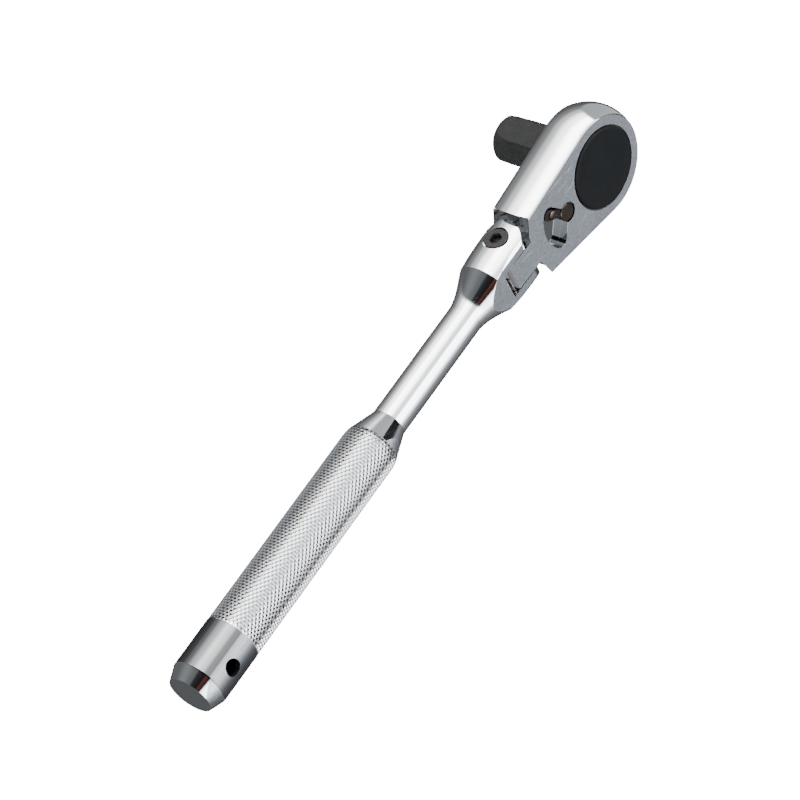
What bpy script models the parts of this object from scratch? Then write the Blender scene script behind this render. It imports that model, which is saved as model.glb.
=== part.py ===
"""Flex-head ratchet wrench with a hexagon drive, built piece by piece.

Frame: origin at the centre of the drive tang's end face. +X runs from the flex pivot to the head's nose,
+Y is the flex pivot's axis on its screw side and +Z is the drive axis, from the tang to the cover.
The head rests slightly flexed: the handle rises a little towards its end.
"""

import math

import bmesh
import bpy
from mathutils import Matrix, Vector

MM = 0.001

# Clearances between pieces.
RUN_GAP = 0.15 * MM
FIT_GAP = 0.10 * MM
LOOSE_GAP = 0.30 * MM

# Drive tang.
TANG_FLATS = 14.0 * MM
TANG_LENGTH = 24.3 * MM
TANG_TURN = 8.7
TANG_END_RADIUS = 6.5 * MM
TANG_LEAD_RADIUS = 7.25 * MM
TANG_LEAD_STEP = 0.8 * MM
TANG_LEAD_LENGTH = 7.0 * MM

# Head housing.
HEAD_THICKNESS = 14.0 * MM
NOSE_RADIUS = 16.6 * MM
SIDE_BULGE = 1.8 * MM
SIDE_TAPER = 8.6
FLOOR_THICKNESS = 2.6 * MM

# Flex joint: the tongue of the head between the two ears of the handle.
PIVOT_DISTANCE = 41.3 * MM
TONGUE_WIDTH = 8.8 * MM
TONGUE_END_RADIUS = HEAD_THICKNESS / 2 + 1.6 * MM
EAR_END_RADIUS = HEAD_THICKNESS / 2 + LOOSE_GAP
SCOOP_RADIUS = TONGUE_END_RADIUS + 0.6 * MM
SCOOP_FLARE = 0.18
SCOOP_WIDEN = 1.9 * MM
SCOOP_BELLY = 7.5 * MM
SCOOP_BELLY_RADIUS = SCOOP_RADIUS + 2.0 * MM
SCOOP_LIP = 9.3 * MM
SCOOP_LIP_RADIUS = SCOOP_RADIUS - 2.1 * MM
SLOT_END_GAP = 1.3 * MM
SLOT_FLOOR_RADIUS = 21.7 * MM
REST_FLEX = 2.878
PIVOT_SHANK_RADIUS = 2.4 * MM
PIVOT_HEAD_RADIUS = 3.8 * MM
PIVOT_HEAD_DEPTH = 2.6 * MM
PIVOT_HEAD_FACE = 10.2 * MM
PIVOT_SOCKET_FLATS = 3.5 * MM
PIVOT_SOCKET_DEPTH = 1.8 * MM
FLEX_WASHER_RADIUS = 4.8 * MM
FLEX_WASHER_THICKNESS = 0.5 * MM
FLEX_WASHER_SINK = 0.35 * MM
FLEX_BALL_RADIUS = 1.5 * MM
FLEX_SPRING_LENGTH = 5.5 * MM

# Handle, measured back from the pivot.
FORK_RADIUS = 10.35 * MM
FORK_EDGE = 11.6 * MM
FORK_EDGE_RADIUS = 9.55 * MM
FORK_NECK_END = 23.5 * MM
SHANK_RADIUS = 5.5 * MM
SHANK_END = 64.9 * MM
GRIP_RADIUS = 8.75 * MM
GRIP_START = 76.25 * MM
GRIP_SHOULDER = 3.0 * MM
GRIP_LENGTH = 70.4 * MM
END_RADIUS = 8.87 * MM
END_LENGTH = 16.35 * MM
END_CHAMFER_LENGTH = 5.1 * MM
END_FACE_RADIUS = 7.0 * MM
HANG_HOLE_RADIUS = 2.65 * MM
HANG_HOLE_FROM_END = 11.8 * MM
HANG_HOLE_TURN = 13.0
EAR_CHAMFER_ANGLE = 66.0
EAR_CHAMFER_DISTANCE = 9.21 * MM

# Cover plate and its snap ring.
COVER_RADIUS = 12.85 * MM
COVER_BORE_GAP = 0.45 * MM
COVER_THICKNESS = 2.4 * MM
COVER_PROUD = 0.5 * MM
COVER_EDGE = 0.35 * MM
SNAP_RING_WIDTH = 1.3 * MM
SNAP_RING_HEIGHT = 0.7 * MM
SNAP_RING_GAP_ANGLE = 20.0
GASKET_INNER_RADIUS = 11.4 * MM
GASKET_OUTER_RADIUS = 12.7 * MM
GASKET_THICKNESS = 0.4 * MM

# Ratchet gear.
GEAR_TEETH = 60
GEAR_TIP_RADIUS = 10.5 * MM
GEAR_TOOTH_DEPTH = 0.6 * MM
GEAR_CAVITY_GAP = 0.5 * MM
JOURNAL_RADIUS = GEAR_TIP_RADIUS - 1.8 * MM
JOURNAL_PROUD = 0.9 * MM
WASHER_THICKNESS = 0.4 * MM
WASHER_INNER_RADIUS = 5.6 * MM
WASHER_OUTER_RADIUS = GEAR_TIP_RADIUS - 1.3 * MM
SEAL_GROOVE = 0.75 * MM

# Pawl, on its pin, rocking towards the gear at one end or the other.
PAWL_PIN_DISTANCE = GEAR_TIP_RADIUS + 2.5 * MM
PAWL_PIN_RADIUS = 0.9 * MM
PAWL_ROCK = 3.75
PAWL_FRONT = 2.0 * MM
PAWL_HALF_LENGTH = 7.0 * MM
PAWL_TEETH = 4
PAWL_FIRST_TOOTH = 3
PAWL_MESH_GAP = 0.12 * MM
CHAMBER_DISTANCE = PAWL_PIN_DISTANCE + 4.0 * MM
CHAMBER_HALF_LENGTH = 7.6 * MM

# Reversing lever in its fan-shaped pocket.
LEVER_DISTANCE = PAWL_PIN_DISTANCE + 5.8 * MM
LEVER_SWING = 76.0
LEVER_SHAFT_RADIUS = 2.3 * MM
LEVER_HUB_RADIUS = 2.85 * MM
LEVER_ARM = 6.4 * MM
LEVER_TIP = 8.1 * MM
LEVER_TIP_RADIUS = 1.75 * MM
LEVER_NECK_HALF_WIDTH = 0.95 * MM
LEVER_KNOB_RADIUS = 1.75 * MM
LEVER_KNOB_RISE = 0.7 * MM
LEVER_PLATE = 2.1 * MM
POCKET_DEPTH = 2.9 * MM
POCKET_GAP = 0.45 * MM
POCKET_RADIUS = 11.0 * MM
POCKET_CORNER = 2.5 * MM
WEB_THICKNESS = 2.2 * MM
PLUNGER_RADIUS = 0.8 * MM
PLUNGER_LENGTH = 2.6 * MM
PLUNGER_REACH = 3.9 * MM
PLUNGER_SPRING_LENGTH = 2.2 * MM
LEVER_RING_WIDTH = 0.9 * MM
LEVER_RING_HEIGHT = 0.5 * MM
LEVER_SEAL_GROOVE = 0.55 * MM

# Heights that follow.
HEAD_BACK = TANG_LENGTH
HEAD_FACE = HEAD_BACK + HEAD_THICKNESS
MID_HEIGHT = HEAD_BACK + HEAD_THICKNESS / 2
CAVITY_FLOOR = HEAD_BACK + FLOOR_THICKNESS
COVER_TOP = HEAD_FACE + COVER_PROUD
COVER_BOTTOM = COVER_TOP - COVER_THICKNESS
GASKET_BOTTOM = COVER_BOTTOM - FIT_GAP - GASKET_THICKNESS
COVER_LEDGE = GASKET_BOTTOM - FIT_GAP
WASHER_TOP = COVER_BOTTOM - RUN_GAP
GEAR_TOP = WASHER_TOP - WASHER_THICKNESS - RUN_GAP
GEAR_BOTTOM = CAVITY_FLOOR + RUN_GAP
POCKET_FLOOR = HEAD_FACE - POCKET_DEPTH
CHAMBER_TOP = POCKET_FLOOR - WEB_THICKNESS
PAWL_TOP = CHAMBER_TOP - RUN_GAP
PAWL_BOTTOM = CAVITY_FLOOR + RUN_GAP
PLUNGER_HEIGHT = (PAWL_TOP + PAWL_BOTTOM) / 2
SHAFT_BOTTOM = CAVITY_FLOOR - FLOOR_THICKNESS / 2
LEVER_RING_HEIGHT_AT = CHAMBER_TOP + 0.55 * MM
LEVER_SEAL_AT = POCKET_FLOOR - 0.6 * MM
SNAP_RING_AT = HEAD_FACE - 0.9 * MM
JOURNAL_SEAL_AT = HEAD_BACK + FLOOR_THICKNESS / 2

# Places that follow.
PIVOT = Vector((-PIVOT_DISTANCE, 0, MID_HEIGHT))
FLEX_TURN = Matrix.Rotation(math.radians(REST_FLEX), 4, "Y")
FLEX_PLACE = Matrix.Translation(PIVOT) @ FLEX_TURN @ Matrix.Translation(-PIVOT)
PAWL_PIN = Vector((-PAWL_PIN_DISTANCE, 0, PLUNGER_HEIGHT))
LEVER = Vector((-LEVER_DISTANCE, 0, PLUNGER_HEIGHT))
THUMB_ANGLE = math.radians(180 - LEVER_SWING / 2)
PLUNGER_DIRECTION = Vector((-math.cos(THUMB_ANGLE), -math.sin(THUMB_ANGLE), 0))
SLOT_HALF = TONGUE_WIDTH / 2 + LOOSE_GAP
HANDLE_END = PIVOT_DISTANCE + GRIP_START + GRIP_LENGTH + END_LENGTH + END_CHAMFER_LENGTH
FLEX_BALL_DISTANCE = PIVOT_DISTANCE + TONGUE_END_RADIUS + FLEX_BALL_RADIUS + RUN_GAP

FAR = 60 * MM
ROUND = 48


# Outlines, as lists of (u, v) points that run anticlockwise.


def arc(centre, radius, start, end, steps):
    """Points on a circle from one angle to another, in degrees."""
    points = []
    for i in range(steps + 1):
        angle = math.radians(start + (end - start) * i / steps)
        points.append((centre[0] + radius * math.cos(angle), centre[1] + radius * math.sin(angle)))
    return points


def circle(radius, steps=ROUND, centre=(0, 0)):
    return arc(centre, radius, 0, 360, steps)[:-1]


def polygon(flats, sides, turn):
    """A regular polygon with its size across flats, its first corner at the angle turn."""
    corner = flats / 2 / math.cos(math.pi / sides)
    return arc((0, 0), corner, turn, turn + 360, sides)[:-1]


def ring_sector(inner, outer, half_gap, steps=ROUND):
    """A ring with a gap of twice half_gap degrees at the angle 0."""
    outside = arc((0, 0), outer, half_gap, 360 - half_gap, steps)
    inside = arc((0, 0), inner, 360 - half_gap, half_gap, steps)
    return outside + inside


# Solids.


def link(name, mesh):
    item = bpy.data.objects.new(name, mesh)
    bpy.context.scene.collection.objects.link(item)
    return item


def finish_mesh(form, name):
    bmesh.ops.recalc_face_normals(form, faces=form.faces)
    mesh = bpy.data.meshes.new(name)
    form.to_mesh(mesh)
    form.free()
    return link(name, mesh)


def extrude(name, outline, low, high, axis="Z", origin=(0, 0, 0)):
    """The outline between two heights along an axis. On Y the outline is (x, z); on X it is (y, z)."""
    place = {
        "Z": lambda u, v, h: (u, v, h),
        "Y": lambda u, v, h: (u, h, v),
        "X": lambda u, v, h: (h, u, v),
    }[axis]
    form = bmesh.new()
    bottom = [form.verts.new(Vector(origin) + Vector(place(u, v, low))) for u, v in outline]
    top = [form.verts.new(Vector(origin) + Vector(place(u, v, high))) for u, v in outline]
    form.faces.new(bottom)
    form.faces.new(top)
    for i in range(len(outline)):
        j = (i + 1) % len(outline)
        form.faces.new((bottom[i], bottom[j], top[j], top[i]))
    return finish_mesh(form, name)


def revolve(name, profile, direction=(0, 0, 1), origin=(0, 0, 0), steps=ROUND):
    """Turns (radius, height) points about a line. The first and last points may lie on it."""
    turn = Vector((0, 0, 1)).rotation_difference(Vector(direction)).to_matrix().to_4x4()
    place = Matrix.Translation(Vector(origin)) @ turn
    form = bmesh.new()
    rings = []
    for radius, height in profile:
        if radius < 1e-9:
            rings.append([form.verts.new((0, 0, height))] * steps)
        else:
            rings.append([form.verts.new((u, v, height)) for u, v in circle(radius, steps)])
    closed = profile[0][0] > 1e-9 and profile[-1][0] > 1e-9
    pairs = list(zip(rings, rings[1:])) + ([(rings[-1], rings[0])] if closed else [])
    for low, high in pairs:
        for i in range(steps):
            j = (i + 1) % steps
            corners = [low[i], low[j], high[j], high[i]]
            form.faces.new(list(dict.fromkeys(corners)))
    form.transform(place)
    return finish_mesh(form, name)


def cylinder(name, radius, low, high, direction=(0, 0, 1), origin=(0, 0, 0), steps=ROUND):
    return revolve(name, [(0, low), (radius, low), (radius, high), (0, high)], direction, origin, steps)


def ball(name, radius, centre, steps=20):
    profile = [(radius * math.sin(math.pi * i / 10), -radius * math.cos(math.pi * i / 10)) for i in range(11)]
    profile[0] = (0, -radius)
    profile[-1] = (0, radius)
    return revolve(name, profile, origin=centre, steps=steps)


def block(name, low, high):
    outline = [(low[0], low[1]), (high[0], low[1]), (high[0], high[1]), (low[0], high[1])]
    return extrude(name, outline, low[2], high[2])


def coil(name, start, direction, length, radius, wire, turns):
    """A closed-ended compression spring along a line."""
    points = []
    count = turns * 12
    turn = Vector((0, 0, 1)).rotation_difference(Vector(direction)).to_matrix()
    for i in range(count + 1):
        angle = 2 * math.pi * turns * i / count
        height = wire + (length - 2 * wire) * i / count
        local = Vector((radius * math.cos(angle), radius * math.sin(angle), height))
        points.append(Vector(start) + turn @ local)
    curve = bpy.data.curves.new(name, "CURVE")
    curve.dimensions = "3D"
    curve.bevel_depth = wire
    curve.bevel_resolution = 1
    curve.use_fill_caps = True
    spline = curve.splines.new("POLY")
    spline.points.add(len(points) - 1)
    for point, place in zip(spline.points, points):
        point.co = (*place, 1)
    return link(name, curve)


def combine(item, other, operation):
    """Adds a live Boolean. The other shape stays in the file as a hidden guide."""
    modifier = item.modifiers.new(operation.title(), "BOOLEAN")
    modifier.operation = operation
    modifier.object = other
    modifier.solver = "EXACT"
    other.hide_render = True
    other.display_type = "WIRE"
    return item


def cut(item, *cutters):
    for cutter in cutters:
        combine(item, cutter, "DIFFERENCE")
    return item


def join(item, *others):
    for other in others:
        combine(item, other, "UNION")
    return item


def keep_inside(item, other):
    return combine(item, other, "INTERSECT")


def flexed(item):
    """Turns a straight piece of the handle, and its guides, to the flex joint's rest angle."""
    item.data.transform(FLEX_PLACE)
    for modifier in item.modifiers:
        modifier.object.data.transform(FLEX_PLACE)
    return item


# Materials.


def material(name, colour, metallic, roughness):
    made = bpy.data.materials.new(name)
    made.use_nodes = True
    shader = made.node_tree.nodes["Principled BSDF"]
    shader.inputs["Base Color"].default_value = (*colour, 1)
    shader.inputs["Metallic"].default_value = metallic
    shader.inputs["Roughness"].default_value = roughness
    return made


def coat(item, name, colour, metallic=1.0, roughness=0.3):
    item.data.materials.append(material(name, colour, metallic, roughness))
    if item.type == "MESH":
        item.data.shade_smooth()
        item.data.set_sharp_from_angle(angle=math.radians(35))
    return item


def chrome(item):
    return coat(item, item.name + "_chrome", (0.80, 0.81, 0.82), 1.0, 0.12)


def black_steel(item):
    return coat(item, item.name + "_black", (0.03, 0.03, 0.032), 0.7, 0.45)


def spring_steel(item):
    return coat(item, item.name + "_spring_steel", (0.55, 0.56, 0.58), 1.0, 0.3)


# Joints: each moving body hangs from an empty that stands on its joint's axis.


def joint(name, place, parent=None):
    empty = link(name, None)
    empty.location = Vector(place) - (Vector(parent["place"]) if parent else Vector())
    empty["place"] = list(place)
    empty.parent = parent
    return empty


def hang(item, empty):
    """Parents a piece to its joint and moves its origin there, with its shape left in place."""
    item.data.transform(Matrix.Translation(-Vector(empty["place"])))
    item.parent = empty
    return item


# Head housing.


def head_outline():
    """The face's edge, anticlockwise from the lower shoulder: tapered side, nose, tapered side."""
    back = PIVOT_DISTANCE - SCOOP_RADIUS * 0.6
    turn = 90 + SIDE_TAPER
    slope = math.tan(math.radians(SIDE_TAPER))
    touch = NOSE_RADIUS * math.cos(math.radians(turn)), NOSE_RADIUS * math.sin(math.radians(turn))
    upper = arc((0, 0), NOSE_RADIUS, 0, turn, 26)
    for i in range(1, 5):
        x = touch[0] + (-back - touch[0]) * i / 4
        upper.append((x, touch[1] + (x - touch[0]) * slope))
    lower = [(x, -y) for x, y in reversed(upper)]
    return lower + upper[1:]


def outward(outline, i):
    """The direction square to an open outline at one of its points."""
    before = Vector(outline[max(i - 1, 0)])
    after = Vector(outline[min(i + 1, len(outline) - 1)])
    run = (after - before).normalized()
    return run.y, -run.x


def head_shell():
    """The pear-shaped body, its side wall bulging between the two faces."""
    outline = head_outline()
    count = len(outline)
    normals = [outward(outline, i) for i in range(count)]
    steps = 6
    form = bmesh.new()
    layers = []
    for k in range(steps + 1):
        share = -1 + 2 * k / steps
        bulge = SIDE_BULGE * (1 - share**2)
        height = MID_HEIGHT + share * HEAD_THICKNESS / 2
        layer = []
        for (x, y), (nx, ny) in zip(outline, normals):
            layer.append(form.verts.new((x + nx * bulge, y + ny * bulge, height)))
        layers.append(layer)
    form.faces.new(layers[0])
    form.faces.new(layers[-1])
    for low, high in zip(layers, layers[1:]):
        for i in range(count):
            j = (i + 1) % count
            form.faces.new((low[i], low[j], high[j], high[i]))
    return finish_mesh(form, "head_housing")


def scoop_cutter(side):
    """The hollow in one shoulder that an ear's round end turns in. On the screw's side it closes towards the wall."""
    inner = TONGUE_WIDTH / 2
    profile = [(0, inner), (SCOOP_RADIUS, inner)]
    if side > 0:
        profile += [
            (SCOOP_RADIUS, inner + SCOOP_WIDEN),
            (SCOOP_BELLY_RADIUS, inner + SCOOP_BELLY),
            (SCOOP_LIP_RADIUS, inner + SCOOP_LIP),
            (SCOOP_LIP_RADIUS, FAR / 2),
        ]
    else:
        profile.append((SCOOP_RADIUS + (FAR / 2 - inner) * SCOOP_FLARE, FAR / 2))
    profile.append((0, FAR / 2))
    return revolve("scoop_cutter", profile, (0, side, 0), PIVOT, 96)


def tongue():
    """The head's tongue, with a round end about the pivot."""
    half = HEAD_THICKNESS / 2
    edge = math.degrees(math.asin(half / TONGUE_END_RADIUS))
    outline = arc((0, 0), TONGUE_END_RADIUS, 180 - edge, 180 + edge, 16)
    root = SCOOP_RADIUS + 4 * MM
    outline += [(root, -half), (root, half)]
    return extrude("tongue", outline, -TONGUE_WIDTH / 2, TONGUE_WIDTH / 2, "Y", PIVOT)


def pocket_outline():
    """The lever's pocket: a round seat for the hub and a fan in which the knob swings."""
    spread = LEVER_SWING / 2 + math.degrees((LEVER_KNOB_RADIUS + POCKET_GAP) / LEVER_ARM)
    reach = POCKET_RADIUS - POCKET_CORNER
    turn = math.radians(spread) - POCKET_CORNER / reach
    middle = 180 - math.degrees(turn)
    seat = LEVER_HUB_RADIUS + POCKET_GAP
    points = arc((0, 0), seat, -115, 115, 14)
    for side in (1, -1):
        centre = (-reach * math.cos(turn), side * reach * math.sin(turn))
        if side > 0:
            points += arc(centre, POCKET_CORNER, middle - 95, middle, 6)
            points += arc((0, 0), POCKET_RADIUS, middle, 360 - middle, 8)[1:-1]
        else:
            points += arc(centre, POCKET_CORNER, -middle, 95 - middle, 6)
    return points


def tongue_bore():
    """The pivot's bore through the tongue, with a washer's seat at each side."""
    bore = PIVOT_SHANK_RADIUS + RUN_GAP
    seat = FLEX_WASHER_RADIUS + FIT_GAP
    start = TONGUE_WIDTH / 2 - FLEX_WASHER_SINK
    profile = [
        (0, -FAR),
        (seat, -FAR),
        (seat, -start),
        (bore, -start),
        (bore, start),
        (seat, start),
        (seat, FAR),
        (0, FAR),
    ]
    return revolve("tongue_bore", profile, (0, 1, 0), PIVOT)


def head_bore():
    """Everything turned about the drive axis: journal bore, gear cavity, cover seat and ring groove."""
    journal = JOURNAL_RADIUS + RUN_GAP
    cavity = GEAR_TIP_RADIUS + GEAR_CAVITY_GAP
    seat = COVER_RADIUS + COVER_BORE_GAP
    ring = snap_outer() + FIT_GAP
    ring_low = SNAP_RING_AT - SNAP_RING_HEIGHT / 2 - FIT_GAP
    ring_high = SNAP_RING_AT + SNAP_RING_HEIGHT / 2 + FIT_GAP
    profile = [
        (0, 0),
        (journal, 0),
        (journal, CAVITY_FLOOR),
        (cavity, CAVITY_FLOOR),
        (cavity, COVER_LEDGE),
        (seat, COVER_LEDGE),
        (seat, ring_low),
        (ring, ring_low),
        (ring, ring_high),
        (seat, ring_high),
        (seat, FAR),
        (0, FAR),
    ]
    return revolve("head_bore", profile, steps=64)


def lever_bore():
    """The lever shaft's bore, with the groove for its ring."""
    bore = LEVER_SHAFT_RADIUS + RUN_GAP
    ring = lever_ring_outer() + FIT_GAP
    ring_low = LEVER_RING_HEIGHT_AT - LEVER_RING_HEIGHT / 2 - FIT_GAP
    ring_high = LEVER_RING_HEIGHT_AT + LEVER_RING_HEIGHT / 2 + FIT_GAP
    profile = [
        (0, SHAFT_BOTTOM - RUN_GAP),
        (bore, SHAFT_BOTTOM - RUN_GAP),
        (bore, ring_low),
        (ring, ring_low),
        (ring, ring_high),
        (bore, ring_high),
        (bore, FAR),
        (0, FAR),
    ]
    return revolve("lever_bore", profile, origin=(-LEVER_DISTANCE, 0, 0), steps=32)


def pawl_chamber():
    """The space for the pawl, open to the gear in front and to the lever's shaft behind."""
    low = (-CHAMBER_DISTANCE, -CHAMBER_HALF_LENGTH, CAVITY_FLOOR)
    high = (-GEAR_TIP_RADIUS / 2, CHAMBER_HALF_LENGTH, CHAMBER_TOP)
    return block("pawl_chamber", low, high)


def plunger_window():
    """The gap in the chamber's back wall that the plunger sweeps through."""
    reach = LEVER_DISTANCE - CHAMBER_DISTANCE
    swing = math.radians(LEVER_SWING / 2)
    width = reach * math.tan(swing) + PLUNGER_RADIUS / math.cos(swing) + LOOSE_GAP
    rise = PLUNGER_RADIUS + LOOSE_GAP
    low = (-LEVER_DISTANCE, -width, PLUNGER_HEIGHT - rise)
    high = (-CHAMBER_DISTANCE + PLUNGER_RADIUS, width, PLUNGER_HEIGHT + rise)
    return block("plunger_window", low, high)


def make_head(flex):
    head = head_shell()
    lever_at = (-LEVER_DISTANCE, 0, 0)
    pin_at = (-PAWL_PIN_DISTANCE, 0, 0)
    join(head, tongue())
    cut(head, scoop_cutter(1), scoop_cutter(-1))
    cut(head, tongue_bore(), head_bore(), pawl_chamber(), plunger_window())
    cut(
        head,
        extrude("lever_pocket", pocket_outline(), POCKET_FLOOR, FAR, "Z", lever_at),
        lever_bore(),
        cylinder(
            "pin_bore",
            PAWL_PIN_RADIUS + FIT_GAP,
            0,
            CHAMBER_TOP + WEB_THICKNESS / 2,
            origin=pin_at,
            steps=20,
        ),
    )
    return hang(chrome(head), flex)


def make_pawl_pin(flex):
    low = HEAD_BACK + FIT_GAP
    high = CHAMBER_TOP + WEB_THICKNESS / 2 - FIT_GAP
    pin = cylinder("pawl_pin", PAWL_PIN_RADIUS, low, high, origin=(-PAWL_PIN_DISTANCE, 0, 0), steps=20)
    return hang(spring_steel(pin), flex)


# Cover, its snap ring and its gasket.


def snap_outer():
    return COVER_RADIUS + SNAP_RING_WIDTH / 2


def snap_inner():
    return COVER_RADIUS - SNAP_RING_WIDTH / 2


def make_cover(flex):
    groove_low = SNAP_RING_AT - SNAP_RING_HEIGHT / 2 - FIT_GAP
    groove_high = SNAP_RING_AT + SNAP_RING_HEIGHT / 2 + FIT_GAP
    profile = [
        (0, COVER_BOTTOM),
        (COVER_RADIUS, COVER_BOTTOM),
        (COVER_RADIUS, groove_low),
        (snap_inner() - FIT_GAP, groove_low),
        (snap_inner() - FIT_GAP, groove_high),
        (COVER_RADIUS, groove_high),
        (COVER_RADIUS, COVER_TOP - COVER_EDGE),
        (COVER_RADIUS - COVER_EDGE, COVER_TOP),
        (0, COVER_TOP),
    ]
    return hang(black_steel(revolve("cover_plate", profile, steps=64)), flex)


def make_snap_ring(flex):
    outline = ring_sector(snap_inner(), snap_outer(), SNAP_RING_GAP_ANGLE / 2, 56)
    low = SNAP_RING_AT - SNAP_RING_HEIGHT / 2
    ring = extrude("cover_snap_ring", outline, low, low + SNAP_RING_HEIGHT)
    return hang(spring_steel(ring), flex)


def make_gasket(flex):
    low = GASKET_BOTTOM
    high = GASKET_BOTTOM + GASKET_THICKNESS
    profile = [
        (GASKET_INNER_RADIUS, low),
        (GASKET_OUTER_RADIUS, low),
        (GASKET_OUTER_RADIUS, high),
        (GASKET_INNER_RADIUS, high),
    ]
    ring = revolve("cover_gasket", profile)
    return hang(coat(ring, "gasket_rubber", (0.03, 0.03, 0.03), 0.0, 0.8), flex)


def make_thrust_washer(flex):
    low = WASHER_TOP - WASHER_THICKNESS
    profile = [
        (WASHER_INNER_RADIUS, low),
        (WASHER_OUTER_RADIUS, low),
        (WASHER_OUTER_RADIUS, WASHER_TOP),
        (WASHER_INNER_RADIUS, WASHER_TOP),
    ]
    washer = revolve("thrust_washer", profile)
    return hang(coat(washer, "washer_brass", (0.72, 0.52, 0.25), 1.0, 0.35), flex)


# Ratchet gear, its journal and the drive tang, in one piece.


def gear_outline():
    points = []
    step = math.pi / GEAR_TEETH
    for i in range(GEAR_TEETH):
        for k, radius in ((0, GEAR_TIP_RADIUS - GEAR_TOOTH_DEPTH), (1, GEAR_TIP_RADIUS)):
            angle = (2 * i + k) * step
            points.append((radius * math.cos(angle), radius * math.sin(angle)))
    return points


def tang_body():
    """The hexagon bar, its corners turned down towards the end."""
    bar = extrude("tang_bar", polygon(TANG_FLATS, 6, TANG_TURN), 0, HEAD_BACK)
    slope = (TANG_FLATS / math.sqrt(3) - TANG_LEAD_RADIUS) / (TANG_LEAD_LENGTH - TANG_LEAD_STEP)
    far = TANG_LEAD_RADIUS + slope * FAR
    profile = [
        (0, 0),
        (TANG_END_RADIUS, 0),
        (TANG_LEAD_RADIUS, TANG_LEAD_STEP),
        (far, TANG_LEAD_STEP + FAR),
        (0, TANG_LEAD_STEP + FAR),
    ]
    return keep_inside(bar, revolve("tang_turning", profile, steps=72))


def gear_core():
    """The journal with its seal groove, and the hub that carries the thrust washer."""
    groove_low = JOURNAL_SEAL_AT - SEAL_GROOVE / 2
    groove_high = JOURNAL_SEAL_AT + SEAL_GROOVE / 2
    groove_radius = JOURNAL_RADIUS - SEAL_GROOVE
    profile = [
        (0, HEAD_BACK - JOURNAL_PROUD),
        (JOURNAL_RADIUS - 0.3 * MM, HEAD_BACK - JOURNAL_PROUD),
        (JOURNAL_RADIUS, HEAD_BACK - JOURNAL_PROUD + 0.3 * MM),
        (JOURNAL_RADIUS, groove_low),
        (groove_radius, groove_low),
        (groove_radius, groove_high),
        (JOURNAL_RADIUS, groove_high),
        (JOURNAL_RADIUS, GEAR_TOP - RUN_GAP),
        (WASHER_INNER_RADIUS - RUN_GAP, GEAR_TOP - RUN_GAP),
        (WASHER_INNER_RADIUS - RUN_GAP, WASHER_TOP - RUN_GAP),
        (0, WASHER_TOP - RUN_GAP),
    ]
    return revolve("gear_core", profile)


def make_gear(drive):
    gear = extrude("drive_gear", gear_outline(), GEAR_BOTTOM, GEAR_TOP)
    join(gear, gear_core(), tang_body())
    return hang(black_steel(gear), drive)


def make_drive_seal(drive):
    """An O-ring in the journal's groove."""
    inner = JOURNAL_RADIUS - SEAL_GROOVE + FIT_GAP / 2
    outer = JOURNAL_RADIUS + RUN_GAP - FIT_GAP / 2
    wire = min((outer - inner) / 2, SEAL_GROOVE / 2 - FIT_GAP / 2)
    middle = inner + wire
    profile = arc((middle, JOURNAL_SEAL_AT), wire, 0, 360, 10)[:-1]
    seal = revolve("drive_seal", profile)
    return hang(coat(seal, "seal_rubber", (0.02, 0.02, 0.02), 0.0, 0.7), drive)


# Pawl.


def turned(points, degrees, centre):
    """The points turned about a centre."""
    cosine = math.cos(math.radians(degrees))
    sine = math.sin(math.radians(degrees))
    made = []
    for x, y in points:
        dx = x - centre[0]
        dy = y - centre[1]
        made.append((centre[0] + dx * cosine - dy * sine, centre[1] + dx * sine + dy * cosine))
    return made


def pawl_teeth():
    """The engaged end's teeth, a mesh gap away from the gear's."""
    points = []
    step = math.pi / GEAR_TEETH
    first = 2 * PAWL_FIRST_TOOTH - 1
    for k in range(2 * PAWL_TEETH + 1):
        angle = math.pi + (first + k) * step
        radius = GEAR_TIP_RADIUS + PAWL_MESH_GAP - (GEAR_TOOTH_DEPTH if k % 2 else 0)
        points.append((radius * math.cos(angle), radius * math.sin(angle)))
    return points


def pawl_outline():
    """Both ends alike about the middle, with a hollow back for the plunger, in the rest pose."""
    centre = (-PAWL_PIN_DISTANCE, 0)
    front = turned(pawl_teeth(), -PAWL_ROCK, centre)
    lever = (-LEVER_DISTANCE, 0)
    hollow = arc(lever, PLUNGER_REACH + RUN_GAP, -46, 0, 8)
    nose = (front[-1][0] + 0.1 * MM, -PAWL_HALF_LENGTH)
    heel = (hollow[0][0] + 0.6 * MM, -PAWL_HALF_LENGTH + 0.5 * MM)
    flank = (hollow[0][0] - 0.1 * MM, hollow[0][1] - 1.2 * MM)
    middle = (-PAWL_PIN_DISTANCE + PAWL_FRONT, front[0][1] + 1.3 * MM)
    lower = [middle] + front + [nose, heel, flank] + hollow
    upper = [(x, -y) for x, y in reversed(lower[:-1])]
    return turned(lower + upper, PAWL_ROCK, centre)


def make_pawl(rock):
    outline = list(reversed(pawl_outline()))
    pawl = extrude("pawl", outline, PAWL_BOTTOM, PAWL_TOP)
    bore = PAWL_PIN_RADIUS + RUN_GAP
    cut(pawl, cylinder("pawl_bore", bore, 0, FAR, origin=(-PAWL_PIN_DISTANCE, 0, 0), steps=20))
    return hang(coat(pawl, "pawl_steel", (0.30, 0.30, 0.31), 1.0, 0.35), rock)


# Reversing lever, with its plunger, spring, seal and ring.


def lever_ring_outer():
    return LEVER_SHAFT_RADIUS + LEVER_RING_WIDTH / 2


def lever_ring_inner():
    return LEVER_SHAFT_RADIUS - LEVER_RING_WIDTH / 2


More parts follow.
